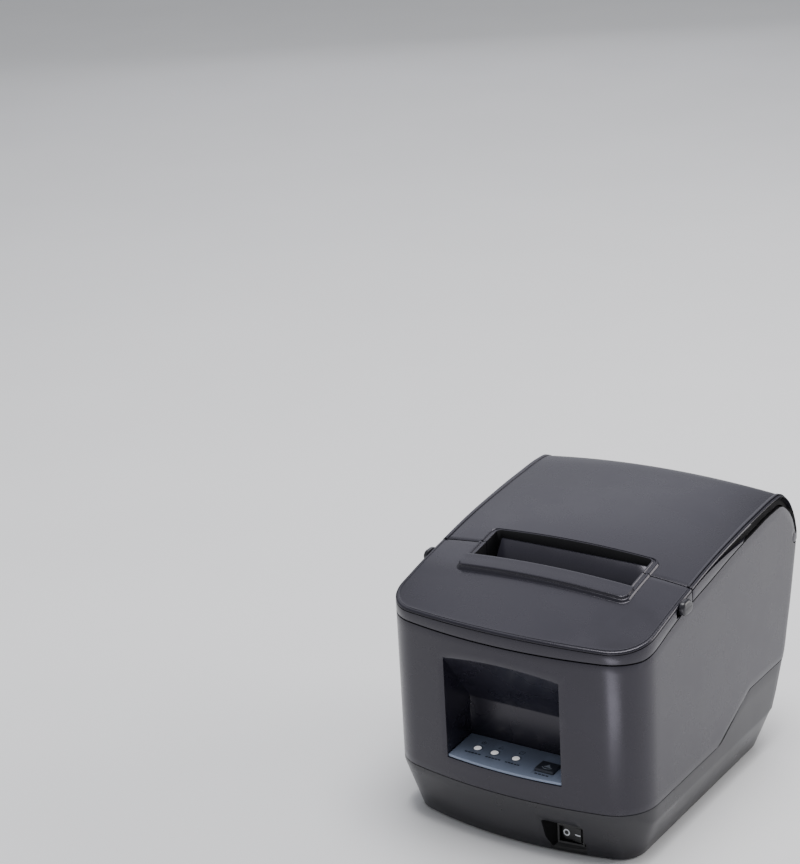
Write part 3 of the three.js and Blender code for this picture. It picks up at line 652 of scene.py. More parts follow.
def smooth_poly(pts, k=4):
    P = np.array(pts, float)
    out = []
    for i in range(len(P) - 1):
        p0 = P[max(i - 1, 0)]
        p1, p2 = P[i], P[i + 1]
        p3 = P[min(i + 2, len(P) - 1)]
        for j in range(k):
            t = j / k
            out.append(0.5 * (2 * p1 + (p2 - p0) * t + (2 * p0 - 5 * p1 + 4 * p2 - p3) * t * t + (3 * p1 - p0 - 3 * p2 + p3) * t ** 3))
    out.append(P[-1])
    return [(float(a), float(c)) for a, c in out]


CREST = smooth_poly([(66, 141.3), (70, 141.3), (76, 141.0), (81, 139.2), (87.0, 134.6), (91.6, 128.6), (95.3, 121.4), (97.4, 114.6), (97.6, 113)], 4)[4:]


def lid_profile():
    ys = [SEAM_Y + GAP + (68 - SEAM_Y - GAP) * i / 30 for i in range(31)]
    prof = [(y, top_side(y)) for y in ys] + [p for p in CREST if p[0] > 68.3]
    P = np.array(prof)
    T = np.gradient(P, axis=0)
    T /= np.linalg.norm(T, axis=1)[:, None]
    N = np.stack([-T[:, 1], T[:, 0]], 1)
    return P, N


def lid_surface():
    b = Build()
    P, N = lid_profile()
    n = len(P)
    xs = [0, 6, 12, 18, 24, 30, 36, 42, 48, 54, 60, 65, 69, HALF_W - LF - 0.5, HALF_W - LF]
    rows = []
    for i in range(n):
        rows.append([(x, P[i][0], P[i][1] + crown(x) * (1 if P[i][1] > 113.1 else 0)) for x in xs])
    b.rows(rows)
    # parting partner of each profile row
    yc = 75.0
    i75 = next(i for i in range(n) if P[i][0] >= yc)
    PR = np.array(PART_REAR, float)
    PR[:, 1] += 0.4
    PR[-1] = (95.8, 112.95)
    L = np.concatenate([[0], np.cumsum(np.hypot(*np.diff(PR, axis=0).T))])
    LP = np.concatenate([[0], np.cumsum(np.hypot(*np.diff(P[i75:], axis=0).T))])
    Q = []
    for i in range(n):
        if i < i75:
            y = P[i][0]
            Q.append((y, part_side(min(y, 75)) + 0.4))
        else:
            s = LP[i - i75] / LP[-1] * L[-1]
            Q.append((float(np.interp(s, L, PR[:, 0])), float(np.interp(s, L, PR[:, 1]))))
    x_r = HALF_W - LF
    cr = crown(x_r)

    def at(i, d, x):
        return (x, P[i][0] - N[i][0] * d, P[i][1] + cr * (1 if P[i][1] > 113.1 else 0) - N[i][1] * d)
    D = [math.hypot(Q[i][0] - P[i][0], Q[i][1] - P[i][1]) for i in range(n)]
    fr = [min(LF, 0.45 * d) for d in D]
    x_r = HALF_W - LF
    side = []
    for k in range(0, 6):
        a = math.pi / 2 * k / 5
        side.append([at(i, fr[i] * (1 - math.cos(a)), x_r + LF * math.sin(a)) for i in range(n)])
    g = 1.2
    gr = []
    for i in range(n):
        y, z = P[i]
        t = min(1, max(0, (y - 30) / 6))
        e = 1 - min(1, max(0, (131.5 - z) / 4)) if y > 75 else 1
        gr.append(1.7 * t * t * (3 - 2 * t) * e if y > 32 else 0.0)
    ge = [(g + 0.6 * min(1, max(0, (P[i][0] + 28) / 61)) ** 2) * min(1, max(0, (D[i] - 3.2) / 1.5)) for i in range(n)]
    d0 = [fr[i] + min(0.05, 0.03 * D[i]) for i in range(n)]
    wd = [min(1, max(0, (P[i][0] + 28) / 61)) ** 2.2 for i in range(n)]
    d1 = [min(LF + 0.95 + (D[i] - LF - 1.15) * wd[i] * (1 if P[i][1] > 128 else 0), (0.97 if P[i][1] > 128 else 0.7) * D[i]) for i in range(n)]
    side.append([at(i, d0[i], HALF_W) for i in range(n)])
    side.append([at(i, d0[i] + 0.05, HALF_W - max(ge[i], gr[i])) for i in range(n)])
    side.append([at(i, d1[i] - 0.05, HALF_W - max(ge[i], gr[i])) for i in range(n)])
    side.append([at(i, d1[i], HALF_W - gr[i]) for i in range(n)])
    for t in (0.5, 1.0):
        side.append([(HALF_W - gr[i], at(i, d1[i], 0)[1] * (1 - t) + Q[i][0] * t, at(i, d1[i], 0)[2] * (1 - t) + Q[i][1] * t) for i in range(n)])
    b.rows(side)
    b.mirror_x()
    return b


cover = front_cover_surface().object("cover_shell", merge=0.01, outward=(0, -40, 90), sharp=40)
solidify(cover, 2.2, 0)
lid = lid_surface().object("lid_shell", merge=0.01, outward=(0, 30, 90), sharp=40)
solidify(lid, 2.2, 0)


def rr(x0, x1, y0, y1, r, n=5, nx=12, ny=6):
    """Rounded rectangle with its straight sides divided, from the right rear corner round by the left."""
    out = []
    corners = ((x1 - r, y1 - r, 0), (x0 + r, y1 - r, 1), (x0 + r, y0 + r, 2), (x1 - r, y0 + r, 3))
    for q, (cx, cy, t0) in enumerate(corners):
        arc = [(cx + r * math.cos((t0 + i / n) * math.pi / 2), cy + r * math.sin((t0 + i / n) * math.pi / 2)) for i in range(n + 1)]
        out += arc
        nxt = corners[(q + 1) % 4]
        t1 = nxt[2] * math.pi / 2
        e = (nxt[0] + r * math.cos(t1), nxt[1] + r * math.sin(t1))
        k = nx if q in (0, 2) else ny
        for i in range(1, k):
            out.append((arc[-1][0] + (e[0] - arc[-1][0]) * i / k, arc[-1][1] + (e[1] - arc[-1][1]) * i / k))
    return out


def slot_prism(name, z0=100, z1=170, g=0.0):
    return prism_z(name, rr(-45.9 - g, 45.9 + g, -43.9 - g, -16.2 + g, 2.8), z0, z1)


cut(cover, slot_prism("c"))
cut(lid, slot_prism("c"))
cut(cover, prism_x("c", KNOB_SLOT, 69.0, 80), prism_x("c1", KNOB_SLOT, -80, -69.0))
for s in (-1, 1):
    for x0, x1 in ((39.8, 44), (54, 58.2)):
        cut(lid, prism_x("c", [(85, 100), (99, 100), (99, 114.6), (85, 114.6)], *((x0, x1) if s > 0 else (-x1, -x0))))
soften(cover, 0.22, 2, 50)
soften(lid, 0.22, 2, 50)

# ------------------------------------------------------------------ frame round the paper slot
def ring(x, y0, y1, r, z):
    return [(p[0], p[1], z(p[0], p[1]) if callable(z) else z) for p in rr(-x, x, y0, y1, r, 6, 16, 8)]


def slot_frame(name, rear):
    b = Build()
    up = lambda d: (lambda x, y: top_z(x, y) + d)
    rows = [ring(45.2, -43.0, -16.7, 2.2, 119.6),
            ring(45.2, -43.0, -16.7, 2.2, 126.0),
            ring(45.2, -43.0, -16.7, 2.2, 130.6),
            ring(45.2, -43.0, -16.7, 2.2, up(0.75)),
            ring(45.35, -43.15, -16.6, 2.3, up(0.92)),
            ring(46.0, -43.6, -16.3, 2.6, up(0.95)),
            ring(46.3, -43.8, -16.2, 2.7, up(0.55)),
            ring(47.4, -51.6, -16.05, 2.9, up(0.55)),
            ring(47.7, -51.8, -15.95, 3.0, up(0.95)),
            ring(48.2, -52.4, -15.85, 3.4, up(1.2)),
            ring(48.7, -52.9, -15.75, 3.8, up(1.2)),
            ring(49.15, -53.25, -15.6, 4.2, up(0.95)),
            ring(49.4, -53.5, -15.45, 4.4, up(0.5)),
            ring(49.6, -53.75, -15.3, 4.6, up(0.12)),
            ring(49.9, -54.1, -15.1, 4.9, up(0.03)),
            ring(49.9, -54.1, -15.1, 4.9, up(-0.6)),
            ring(46.4, -44.4, -15.75, 3.2, up(-0.7)),
            ring(46.4, -44.4, -15.75, 3.2, 119.6)]
    ids = b.rows(rows, closed=True)
    b.join([ids[-1], ids[0]], closed=True)
    o = b.object(name, outward=None, sharp=40)
    bb = Build()
    if rear:
        box_pts(bb, -60, 60, -70, SEAM_Y + GAP, 100, 160)
    else:
        box_pts(bb, -60, 60, SEAM_Y - GAP, 0, 100, 160)
    cut(o, bb.object("c"))
    resharp(o, 40)
    return o


frame_front = slot_frame("slot_frame_front", False)
frame_rear = slot_frame("slot_frame_rear", True)

b = Build()
up = lambda d: (lambda x, y: top_z(x, y) + d)
cols = []
for i in range(41):
    t = i / 40
    x = -48.3 + 96.6 * (0.5 - 0.5 * math.cos(math.pi * t)) * 0.25 + 96.6 * t * 0.75
    r_ = 2.2
    e = max(0.0, abs(x) - (48.3 - r_))
    yf_ = -52.7 + r_ - math.sqrt(max(0.0, r_ * r_ - e * e))
    yr_ = -42.7
    zt = lambda y: top_z(x, y)
    cols.append([(x, yr_, zt(yr_) - 0.6), (x, yr_, zt(yr_) + 2.35), (x, yr_ - 0.12, zt(yr_) + 2.56), (x, yr_ - 0.4, zt(yr_) + 2.64),
                 (x, yr_ - 1.2, zt(yr_ - 1.2) + 2.66), (x, (yr_ + yf_) / 2, zt((yr_ + yf_) / 2) + 2.68), (x, yf_ + 1.2, zt(yf_ + 1.2) + 2.7),
                 (x, yf_ + 0.4, zt(yf_ + 0.4) + 2.68), (x, yf_ + 0.12, zt(yf_ + 0.12) + 2.6), (x, yf_, zt(yf_) + 2.4), (x, yf_, zt(yf_) + 0.3)])
ids = b.rows(cols, closed=True)
b.cap(ids[0])
b.cap(ids[-1], True)
ledge = b.object("slot_ledge", sharp=50)

b = Build()
pr(b, [(-43.3, 130.0), (-43.3, 127.0), (-29, 119.7), (-25.6, 119.7), (-25.6, 120.7), (-29, 121.6), (-42.4, 129.8)], -42.2, 42.2)
pr(b, [(-45.2, 129.0), (-43.0, 129.4), (-42.9, 126.9), (-45.2, 127.5)], -45.0, 45.0)
tongue = b.object("slot_tongue")
soften(tongue, 0.3, 2, 50)

b = Build()
n = 16
sec = [(-16.9, 131.2), (-18.2, 130.9), (-25.1, 121.2), (-23.1, 120.4), (-16.9, 128.6)]
cols = []
for i in range(n + 1):
    x = -42.4 + 84.8 * i / n
    lift = (crown(x) - crown(42.4)) * 0.15
    cols.append([(x, y, z + (lift if z > 129 else 0)) for y, z in sec])
ids = b.rows(cols, closed=True)
b.cap(ids[0])
b.cap(ids[-1], True)
chute = b.object("slot_chute")
soften(chute, 0.35, 2, 50)

# rolled rear edge, web and rails of the lid
b = Build()
for k0, k1 in ((-69.2, -58.4), (-53.8, -44.2), (-39.6, 39.6), (44.2, 53.8), (58.4, 69.2)):
    n = 24
    nn = max(2, int((k1 - k0) / 6))
    cols = []
    for i in range(nn + 1):
        x = k0 + (k1 - k0) * i / nn
        cols.append([(x, HINGE[0] + 2.35 * math.cos(2 * math.pi * t / n), HINGE[1] + 2.35 * math.sin(2 * math.pi * t / n)) for t in range(n)])
    ids = b.rows(cols, closed=True)
    b.cap(ids[0])
    b.cap(ids[-1], True)
    pr(b, [(92.7, 111.4), (97.1, 111.4), (97.2, 113.2), (96.2, 117), (94, 119), (92.7, 117)], k0, k1)
for s in (-1, 1):
    for r, x0, x1 in ((3.15, 69.4, 72.4),):
        sec = [(min(HINGE[0] + r * math.cos(2 * math.pi * i / 36), 97.6), HINGE[1] + r * math.sin(2 * math.pi * i / 36)) for i in range(36)]
        pr(b, sec, *((x0, x1) if s > 0 else (-x1, -x0)))
roll_edge = b.object("lid_hinge_edge", sharp=45)
soften(roll_edge, 0.3, 2, 60)
b = Build()
for x in (-60, 60):
    ys = [-20 + 104 * i / 20 for i in range(21)]
    for x0, x1 in ((x - 0.8, x + 0.8),):
        lo = [(x0, y, top_z(x, min(y, 70)) - (6 if y < 78 else 9)) for y in ys]
        hi = [(x0, y, top_z(x, min(y, 70)) - (1.6 if y < 70 else 4.6)) for y in ys]
        A = [(x0, p[1], p[2]) for p in lo]
        B = [(x0, p[1], p[2]) for p in hi]
        C = [(x1, p[1], p[2]) for p in hi]
        D = [(x1, p[1], p[2]) for p in lo]
        ids = b.rows([A, B, C, D])
        b.join([ids[-1], ids[0]])
        b.cap([i[0] for i in ids])
        b.cap([i[-1] for i in ids], True)
rails = b.object("lid_rails")

# ------------------------------------------------------------------ panel, lamps, button
panelZ = lambda y: 42.6 + 0.068 * (y + 95)
LAMPS = [(-22, -81.6), (-11.8, -81.9), (0.8, -82.1)]
b = Build()
fy = lambda x: FRONT_Y + 0.5 + BOW * (x / (HALF_W - 0.5)) ** 2
n = 24
lo, hi = [], []
xs_ = [-32.6 + 65.2 * i / n for i in range(n + 1)]
A = [(x, -70.3, panelZ(-70.3) - 1.3) for x in xs_]
B = [(x, -70.3, panelZ(-70.3)) for x in xs_]
C = [(x, fy(x), panelZ(fy(x))) for x in xs_]
D = [(x, fy(x), panelZ(fy(x)) - 1.3) for x in xs_]
ids = b.rows([A, B, C, D])
b.join([ids[-1], ids[0]])
b.cap([i[0] for i in ids])
b.cap([i[-1] for i in ids], True)
panel = b.object("panel_plate")
for x, y in LAMPS:
    cut(panel, prism_z("c", circle(x, y, 2.3, 36), 38, 50))
BX0, BX1, BY0, BY1 = 14.5, 25.3, -87.7, -78.7
cut(panel, prism_z("c", round_rect(BX0 - 0.3, BX1 + 0.3, BY0 - 0.3, BY1 + 0.3, 1.0), 38, 50))
soften(panel, 0.18, 2, 50)

lenses = []
for i, (x, y) in enumerate(LAMPS):
    b = Build()
    z = panelZ(y)
    prof = [(1.95, 38.6), (1.95, z - 0.05), (1.88, z + 0.16), (1.7, z + 0.34), (1.35, z + 0.5), (0.9, z + 0.6), (0.4, z + 0.65)]
    ids = b.rows([[(x + r * math.cos(2 * math.pi * k / 32), y + r * math.sin(2 * math.pi * k / 32), zz) for k in range(32)] for r, zz in prof], closed=True)
    b.cap(ids[0])
    b.cap(ids[-1], True)
    lenses.append(b.object("lamp_dome_%d" % (i + 1), sharp=50))
b = Build()
for x, y in LAMPS:
    z = panelZ(y)
    prof = [(2.28, z - 0.9), (2.02, z - 0.9), (2.02, z + 0.02), (2.1, z + 0.16), (2.35, z + 0.18), (2.6, z + 0.1), (2.66, z + 0.0), (2.28, z + 0.0)]
    ids = b.rows([[(x + r * math.cos(2 * math.pi * k / 36), y + r * math.sin(2 * math.pi * k / 36), zz + 0.068 * r * math.sin(2 * math.pi * k / 36)) for k in range(36)] for r, zz in prof], closed=True)
    b.join([ids[-1], ids[0]], closed=True)
lamp_rings = b.object("lamp_rings", sharp=50)

b = Build()
zb = panelZ(-83.2) + 1.1
rb = lambda g, z: [(p[0], p[1], z) for p in round_rect(BX0 + g, BX1 - g, BY0 + g, BY1 - g, max(0.35, 0.95 - g * 0.6), 5)]
ids = b.rows([rb(0, 41.6), rb(0, zb - 0.55), rb(0.12, zb - 0.2), rb(0.4, zb - 0.02), rb(0.9, zb), rb(1.6, zb - 0.08), rb(3.2, zb - 0.1)], closed=True)
b.cap(ids[0])
b.cap(ids[-1], True)
ids = b.rows([[(p[0], p[1], z) for p in round_rect(16, 23.8, -86.2, -80.2, 0.8)] for z in (39.8, 42.0)], closed=True)
b.cap(ids[0])
b.cap(ids[-1], True)
button = b.object("button_cap", sharp=45)


def flat_mark(b, pts, z0, z1):
    """Low raised mark; z0 and z1 are functions of y."""
    a = b.add([(x, y, z0(y)) for x, y in pts])
    c = b.add([(x, y, z1(y)) for x, y in pts])
    b.join([a, c], closed=True)
    b.cap(a)
    b.cap(c, True)


def stroke(pts, w):
    """Outline of a line of width w through pts."""
    L_, R_ = [], []
    P = [np.array(p, float) for p in pts]
    for i in range(len(P)):
        t = P[min(i + 1, len(P) - 1)] - P[max(i - 1, 0)]
        t = t / np.linalg.norm(t)
        nn = np.array((-t[1], t[0])) * w / 2
        L_.append(tuple(P[i] + nn))
        R_.append(tuple(P[i] - nn))
    return L_ + R_[::-1]


def ring_mark(b, cx, cy, r0, r1, z0, z1, n=28, a0=0, a1=360):
    full = abs(a1 - a0) >= 360
    m_ = n if full else n + 1
    ang = [math.radians(a0 + (a1 - a0) * i / n) for i in range(m_)]
    q = []
    for r, z in ((r0, z0), (r1, z0), (r1, z1), (r0, z1)):
        q.append([(cx + r * math.cos(t), cy + r * math.sin(t), z(cy + r * math.sin(t))) for t in ang])
    ids = b.rows(q, closed=full)
    b.join([ids[-1], ids[0]], closed=full)
    if not full:
        b.cap([i[0] for i in ids])
        b.cap([i[-1] for i in ids], True)


b = Build()
zl, zh = (lambda y: panelZ(y) - 0.05), (lambda y: panelZ(y) + 0.07)
yo = 1.35
# plain dashes in place of words
for x0, x1, y, n_ in ((-26.8, -17.1, -88.0, 5), (-14.5, -5.3, -88.2, 5), (-2.9, 5.8, -88.4, 5), (15.8, 24.1, -91.2, 4)):
    w_ = (x1 - x0) / n_
    for q_ in range(n_):
        xa, xb = x0 + q_ * w_ + 0.22, x0 + (q_ + 1) * w_ - 0.22
        flat_mark(b, [(xa, y + yo - 0.45), (xb, y + yo - 0.45), (xb, y + yo + 0.45), (xa, y + yo + 0.45)], zl, zh)
# generic pictures over the lamps: ring with a stem, triangle, sheet with lines
ring_mark(b, -21.5, -76.2, 0.95, 1.3, zl, zh, a0=120, a1=420)
flat_mark(b, stroke([(-21.5, -76.3), (-21.5, -74.5)], 0.35), zl, zh)
flat_mark(b, stroke([(-12.3, -77.5), (-9.5, -77.5), (-10.9, -75.2), (-12.1, -77.2)], 0.34), zl, zh)
flat_mark(b, stroke([(-0.2, -77.4), (-0.2, -75.0), (2.2, -75.0), (2.2, -77.4), (-0.2, -77.4)], 0.32), zl, zh)
flat_mark(b, stroke([(0.4, -76.0), (1.6, -76.0)], 0.3), zl, zh)
marks = b.object("panel_marks", sharp=40)
b = Build()
zl2, zh2 = (lambda y: zb - 0.2), (lambda y: zb + 0.03)
flat_mark(b, [(18.2, -84.2), (21.9, -84.2), (20.05, -81.4)], zl2, zh2)
ring_mark(b, 20.05, -82.6, 3.1, 3.45, zl2, zh2, n=14, a0=215, a1=325)
button_mark = b.object("button_mark", sharp=40)

# ------------------------------------------------------------------ rocker
V0 = 2.6
b = Build()
rk = [(-5.9, -1.2), (-3.0, -1.72), (0, -2.0), (2.6, -2.55), (5.3, -2.95), (5.95, 0.8), (3.6, 4.2), (-3.6, 4.2), (-5.95, 0.8)]
a = b.add([sw((u, v + V0, -4.05)) for u, v in rk])
c = b.add([sw((u, v + V0, 4.05)) for u, v in rk])
b.join([a, c], closed=True)
b.cap(a)
b.cap(c, True)
rocker = b.object("rocker_cap")
soften(rocker, 0.4, 3, 25)
b = Build()


def on_face(u, w, h):
    v = np.interp(u, [-5.9, -3.0, 0, 2.6, 5.3], [-1.2, -1.72, -2.0, -2.55, -2.95]) + V0
    return sw((u, v - h, w))


def face_ring(b, cu, cw, r0, r1, h0, h1, n=28):
    q = []
    for r, h in ((r0, h0), (r1, h0), (r1, h1), (r0, h1)):
        q.append([on_face(cu + r * math.cos(2 * math.pi * i / n), cw + r * math.sin(2 * math.pi * i / n), h) for i in range(n)])
    ids = b.rows(q, closed=True)
    b.join([ids[-1], ids[0]], closed=True)


face_ring(b, -3.0, 0.0, 1.15, 1.85, -0.15, 0.04)
q = [on_face(u, w, h) for h in (-0.15, 0.04) for u, w in ((1.9, -0.34), (4.9, -0.34), (4.9, 0.34), (1.9, 0.34))]
ids_ = b.add(q)
b.join([ids_[:4], ids_[4:]], closed=True)
b.cap(ids_[:4])
b.cap(ids_[4:], True)
rocker_mark = b.object("rocker_mark", sharp=40)

# ------------------------------------------------------------------ release knobs
knobs = {}
for s in (-1, 1):
    side = "left" if s < 0 else "right"
    sx = lambda a_, b_: (a_, b_) if s > 0 else (-b_, -a_)
    b = Build()
    pr(b, [(-48, 94.6), (-40, 94.6), (-34.6, 118), (-34.6, 122), (-40.8, 122), (-41.4, 118)], *sx(64.7, 67.4))
    # pivot hole is hidden by the shaft end
    pr(b, [(-40.4, 119.95), (-35, 119.95), (-35, 122.6), (-40.4, 122.6)], *sx(66, 73.4))
    arm = b.object("release_arm_" + side)
    soften(arm, 0.3, 2, 50)
    b = Build()
    rk_ = lambda g: [(y - 0.22 * (z - 123.2), z + 0.05 * (y + 38)) for y, z in round_rect(-43.2 + g, -32.6 - g, 119.6 + g, 127.2 - g, 3.7 - g * 0.9, 6)]
    lay = [(72.75, 0.4), (72.95, 0.0), (74.3, 0.0), (74.9, 0.22), (75.3, 0.62), (75.52, 1.2), (75.6, 2.0)]
    ids = b.rows([[(s * x, y, z) for y, z in rk_(g)] for x, g in lay], closed=True)
    b.cap(ids[0])
    b.cap(ids[-1], True)
    kn = b.object("release_tip_" + side, sharp=60)
    knobs[side] = (arm, kn)

# ------------------------------------------------------------------ feet
feet = []
for (x, y), nm in zip(FEET, ("front_left", "front_right", "rear_left", "rear_right")):
    b = Build()
    prof = [(4.2, -1.0), (5.3, -1.0), (5.85, -0.7), (6.0, -0.2), (6.0, 1.7)]
    ids = b.rows([[(x + r * math.cos(2 * math.pi * k / 40), y + r * math.sin(2 * math.pi * k / 40), z) for k in range(40)] for r, z in prof], closed=True)
    inner = b.add([(x + 3.9 * math.cos(2 * math.pi * k / 40), y + 3.9 * math.sin(2 * math.pi * k / 40), -0.8) for k in range(40)])
    b.join([inner, ids[0]], closed=True)
    b.cap(inner)
    b.cap(ids[-1], True)
    feet.append((b.object("foot_pad_" + nm, sharp=45), "foot_" + nm))

# ------------------------------------------------------------------ materials
def srgb(r, g, b_):
    f = lambda c: (c / 255 / 12.92) if c <= 10.3 else ((c / 255 + 0.055) / 1.055) ** 2.4
    return (f(r), f(g), f(b_))


def material(name, col, rough, metal=0.0, var=0.10, vscale=45.0, grain=0.06, gscale=1500.0, bump=0.10, bscale=1900.0, rvar=0.06,
             wear=0.0, wear_col=None, spec=0.5, coat=0.0, coat_rough=0.2, brushed=False):
    m_ = bpy.data.materials.new(name)
    m_.use_nodes = True
    nt = m_.node_tree
    N_, L_ = nt.nodes, nt.links
    bsdf = next(x for x in N_ if x.type == "BSDF_PRINCIPLED")
    bsdf.inputs["Metallic"].default_value = metal
    bsdf.inputs["Specular IOR Level"].default_value = spec
    bsdf.inputs["Coat Weight"].default_value = coat
    bsdf.inputs["Coat Roughness"].default_value = coat_rough
    tc = N_.new("ShaderNodeTexCoord")
    mp = N_.new("ShaderNodeMapping")
    L_.new(tc.outputs["Object"], mp.inputs["Vector"])
    if brushed:
        mp.inputs["Scale"].default_value = (0.06, 1.0, 1.0)

    def noise(scale, detail=3.0):
        n_ = N_.new("ShaderNodeTexNoise")
        n_.inputs["Scale"].default_value = scale
        n_.inputs["Detail"].default_value = detail
        L_.new(mp.outputs["Vector"], n_.inputs["Vector"])
        return n_
    big, fine, bmp = noise(vscale, 4.0), noise(gscale, 2.0), noise(bscale, 2.0)

    def mix(fac, a_, b2):
        x = N_.new("ShaderNodeMix")
        x.data_type = "RGBA"
        x.clamp_factor = True
        L_.new(fac, x.inputs[0])
        for sck, v_ in ((x.inputs[6], a_), (x.inputs[7], b2)):
            if isinstance(v_, tuple):
                sck.default_value = (*v_, 1.0)
            else:
                L_.new(v_, sck)
        return x.outputs[2]

    def ramp(src, lo_, hi_, a_=0.0, b2=1.0):
        r_ = N_.new("ShaderNodeMapRange")
        r_.inputs["From Min"].default_value = lo_
        r_.inputs["From Max"].default_value = hi_
        r_.inputs["To Min"].default_value = a_
        r_.inputs["To Max"].default_value = b2
        L_.new(src, r_.inputs["Value"])
        return r_.outputs["Result"]
    dark = tuple(c_ * (1 - var) for c_ in col)
    lite = tuple(min(1, c_ * (1 + var)) for c_ in col)
    base_c = mix(ramp(big.outputs["Fac"], 0.3, 0.7), dark, lite)
    spk = tuple(min(1, c_ * (1 + 4 * grain) + 0.004) for c_ in col)
    base_c = mix(ramp(fine.outputs["Fac"], 0.55, 0.85, 0.0, 0.6), base_c, spk)
    if wear > 0:
        geo = N_.new("ShaderNodeNewGeometry")
        pt = ramp(geo.outputs["Pointiness"], 0.515, 0.60, 0.0, wear)
        wc = wear_col or tuple(min(1, c_ * 1.8 + 0.02) for c_ in col)
        base_c = mix(pt, base_c, wc)
    L_.new(base_c, bsdf.inputs["Base Color"])
    L_.new(ramp(big.outputs["Fac"], 0.3, 0.7, max(0.02, rough - rvar), min(1, rough + rvar)), bsdf.inputs["Roughness"])
    bp = N_.new("ShaderNodeBump")
    bp.inputs["Strength"].default_value = bump
    bp.inputs["Distance"].default_value = 0.00015
    L_.new(bmp.outputs["Fac"], bp.inputs["Height"])
    L_.new(bp.outputs["Normal"], bsdf.inputs["Normal"])
    return m_


M = {
    "housing_plastic": material("housing_plastic", (0.0120, 0.0115, 0.0180), 0.27, bump=0.05, wear=0.3, rvar=0.04, spec=0.55),
    "base_plastic": material("base_plastic", (0.0115, 0.0110, 0.0155), 0.30, bump=0.05, wear=0.3, rvar=0.04, spec=0.55),
    # darker plastic of the inner parts; the same colour is also painted as shade on visible faces: the housing rim
    # under the lid, the slot frame's inner walls and the switch pocket
    "inner_plastic": material("inner_plastic", (0.006, 0.006, 0.007), 0.5, bump=0.3),
    # near-black painted shade, no plastic of its own: laid on the lid's side band below the edge and on the switch
    # pocket's left wall where shade falls
    "painted_shade_black": material("painted_shade_black", (0.0014, 0.0014, 0.0017), 0.7, bump=0.3),
    "panel_film": material("panel_film", (0.225, 0.272, 0.370), 0.40, bump=0.15, var=0.05, wear=0.2),
    "lamp_plastic": material("lamp_plastic", (0.86, 0.86, 0.85), 0.25, var=0.02, bump=0.05, coat=0.3),
    "lamp_ring": material("lamp_ring", (0.12, 0.15, 0.21), 0.3, bump=0.1, var=0.04),
    "mark_white": material("mark_white", (0.74, 0.76, 0.79), 0.5, bump=0.15, var=0.04),
    "mark_dark": material("mark_dark", (0.020, 0.026, 0.042), 0.5, bump=0.15, var=0.04),
    "mark_grey": material("mark_grey", (0.36, 0.41, 0.48), 0.5, bump=0.15, var=0.04),
    "button_plastic": material("button_plastic", (0.034, 0.041, 0.056), 0.42, bump=0.25, wear=0.3),
    "switch_plastic": material("switch_plastic", (0.0055, 0.0055, 0.006), 0.34, bump=0.2, wear=0.3),
    "rubber": material("rubber", (0.018, 0.018, 0.018), 0.8, bump=0.5, bscale=2600),
    "gear_nylon": material("gear_nylon", (0.66, 0.62, 0.50), 0.45, bump=0.15, var=0.05),
    "brass": material("brass", (0.60, 0.44, 0.18), 0.3, metal=1.0, var=0.08, bump=0.15),
    "circuit_board": material("circuit_board", (0.018, 0.13, 0.05), 0.45, bump=0.5, bscale=700, var=0.2),
    "ceramic": material("ceramic", (0.70, 0.68, 0.62), 0.35, bump=0.1, var=0.04),
    "aluminium": material("aluminium", (0.62, 0.63, 0.64), 0.36, metal=1.0, bump=0.15, brushed=True),
    "steel": material("steel", (0.52, 0.53, 0.55), 0.34, metal=1.0, bump=0.15, brushed=True),
}

lamp_shader = next(x for x in M["lamp_plastic"].node_tree.nodes if x.type == "BSDF_PRINCIPLED")
lamp_shader.inputs["Emission Color"].default_value = (1.0, 1.0, 1.0, 1.0)
lamp_shader.inputs["Emission Strength"].default_value = 0.45

SLOT_OF = {
    "feed_motor": "steel", "cutter_motor": "steel", "mech_chassis": "steel", "platen_shaft": "steel", "drive_gear_axle": "steel",
    "release_shaft": "steel", "release_hook_left": "steel", "release_hook_right": "steel", "hinge_pin_left": "steel", "hinge_pin_right": "steel",
    "cutter_blade": "steel", "fixed_blade": "steel", "connector_plate": "steel", "usb_socket": "steel", "network_socket": "steel", "serial_socket": "steel",
    "base_screw_1": "steel", "base_screw_2": "steel", "base_screw_3": "steel", "base_screw_4": "steel",
    "head_heat_sink": "aluminium", "print_head": "ceramic", "platen_rubber": "rubber", "platen_gear": "gear_nylon", "drive_gear": "gear_nylon",
    "cutter_pinion": "gear_nylon", "platen_bush_left": "gear_nylon", "platen_bush_right": "gear_nylon", "motor_pinion": "brass",
    "main_board": "circuit_board", "panel_board": "circuit_board", "switch_body": "switch_plastic",
    "power_inlet": "inner_plastic", "drawer_socket": "inner_plastic", "paper_bucket": "inner_plastic", "paper_sensor": "inner_plastic", "lid_frame": "inner_plastic",
}


def finish_piece(ob, body, slot_, mat_=None, rep=()):
    ob.data.materials.clear()
    ob.data.materials.append(M[mat_ or slot_])
    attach(ob, body)
    if rep:
        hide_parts(*rep)


finish_piece(base, "printer_body", "base_plastic", rep=("base_tray",))
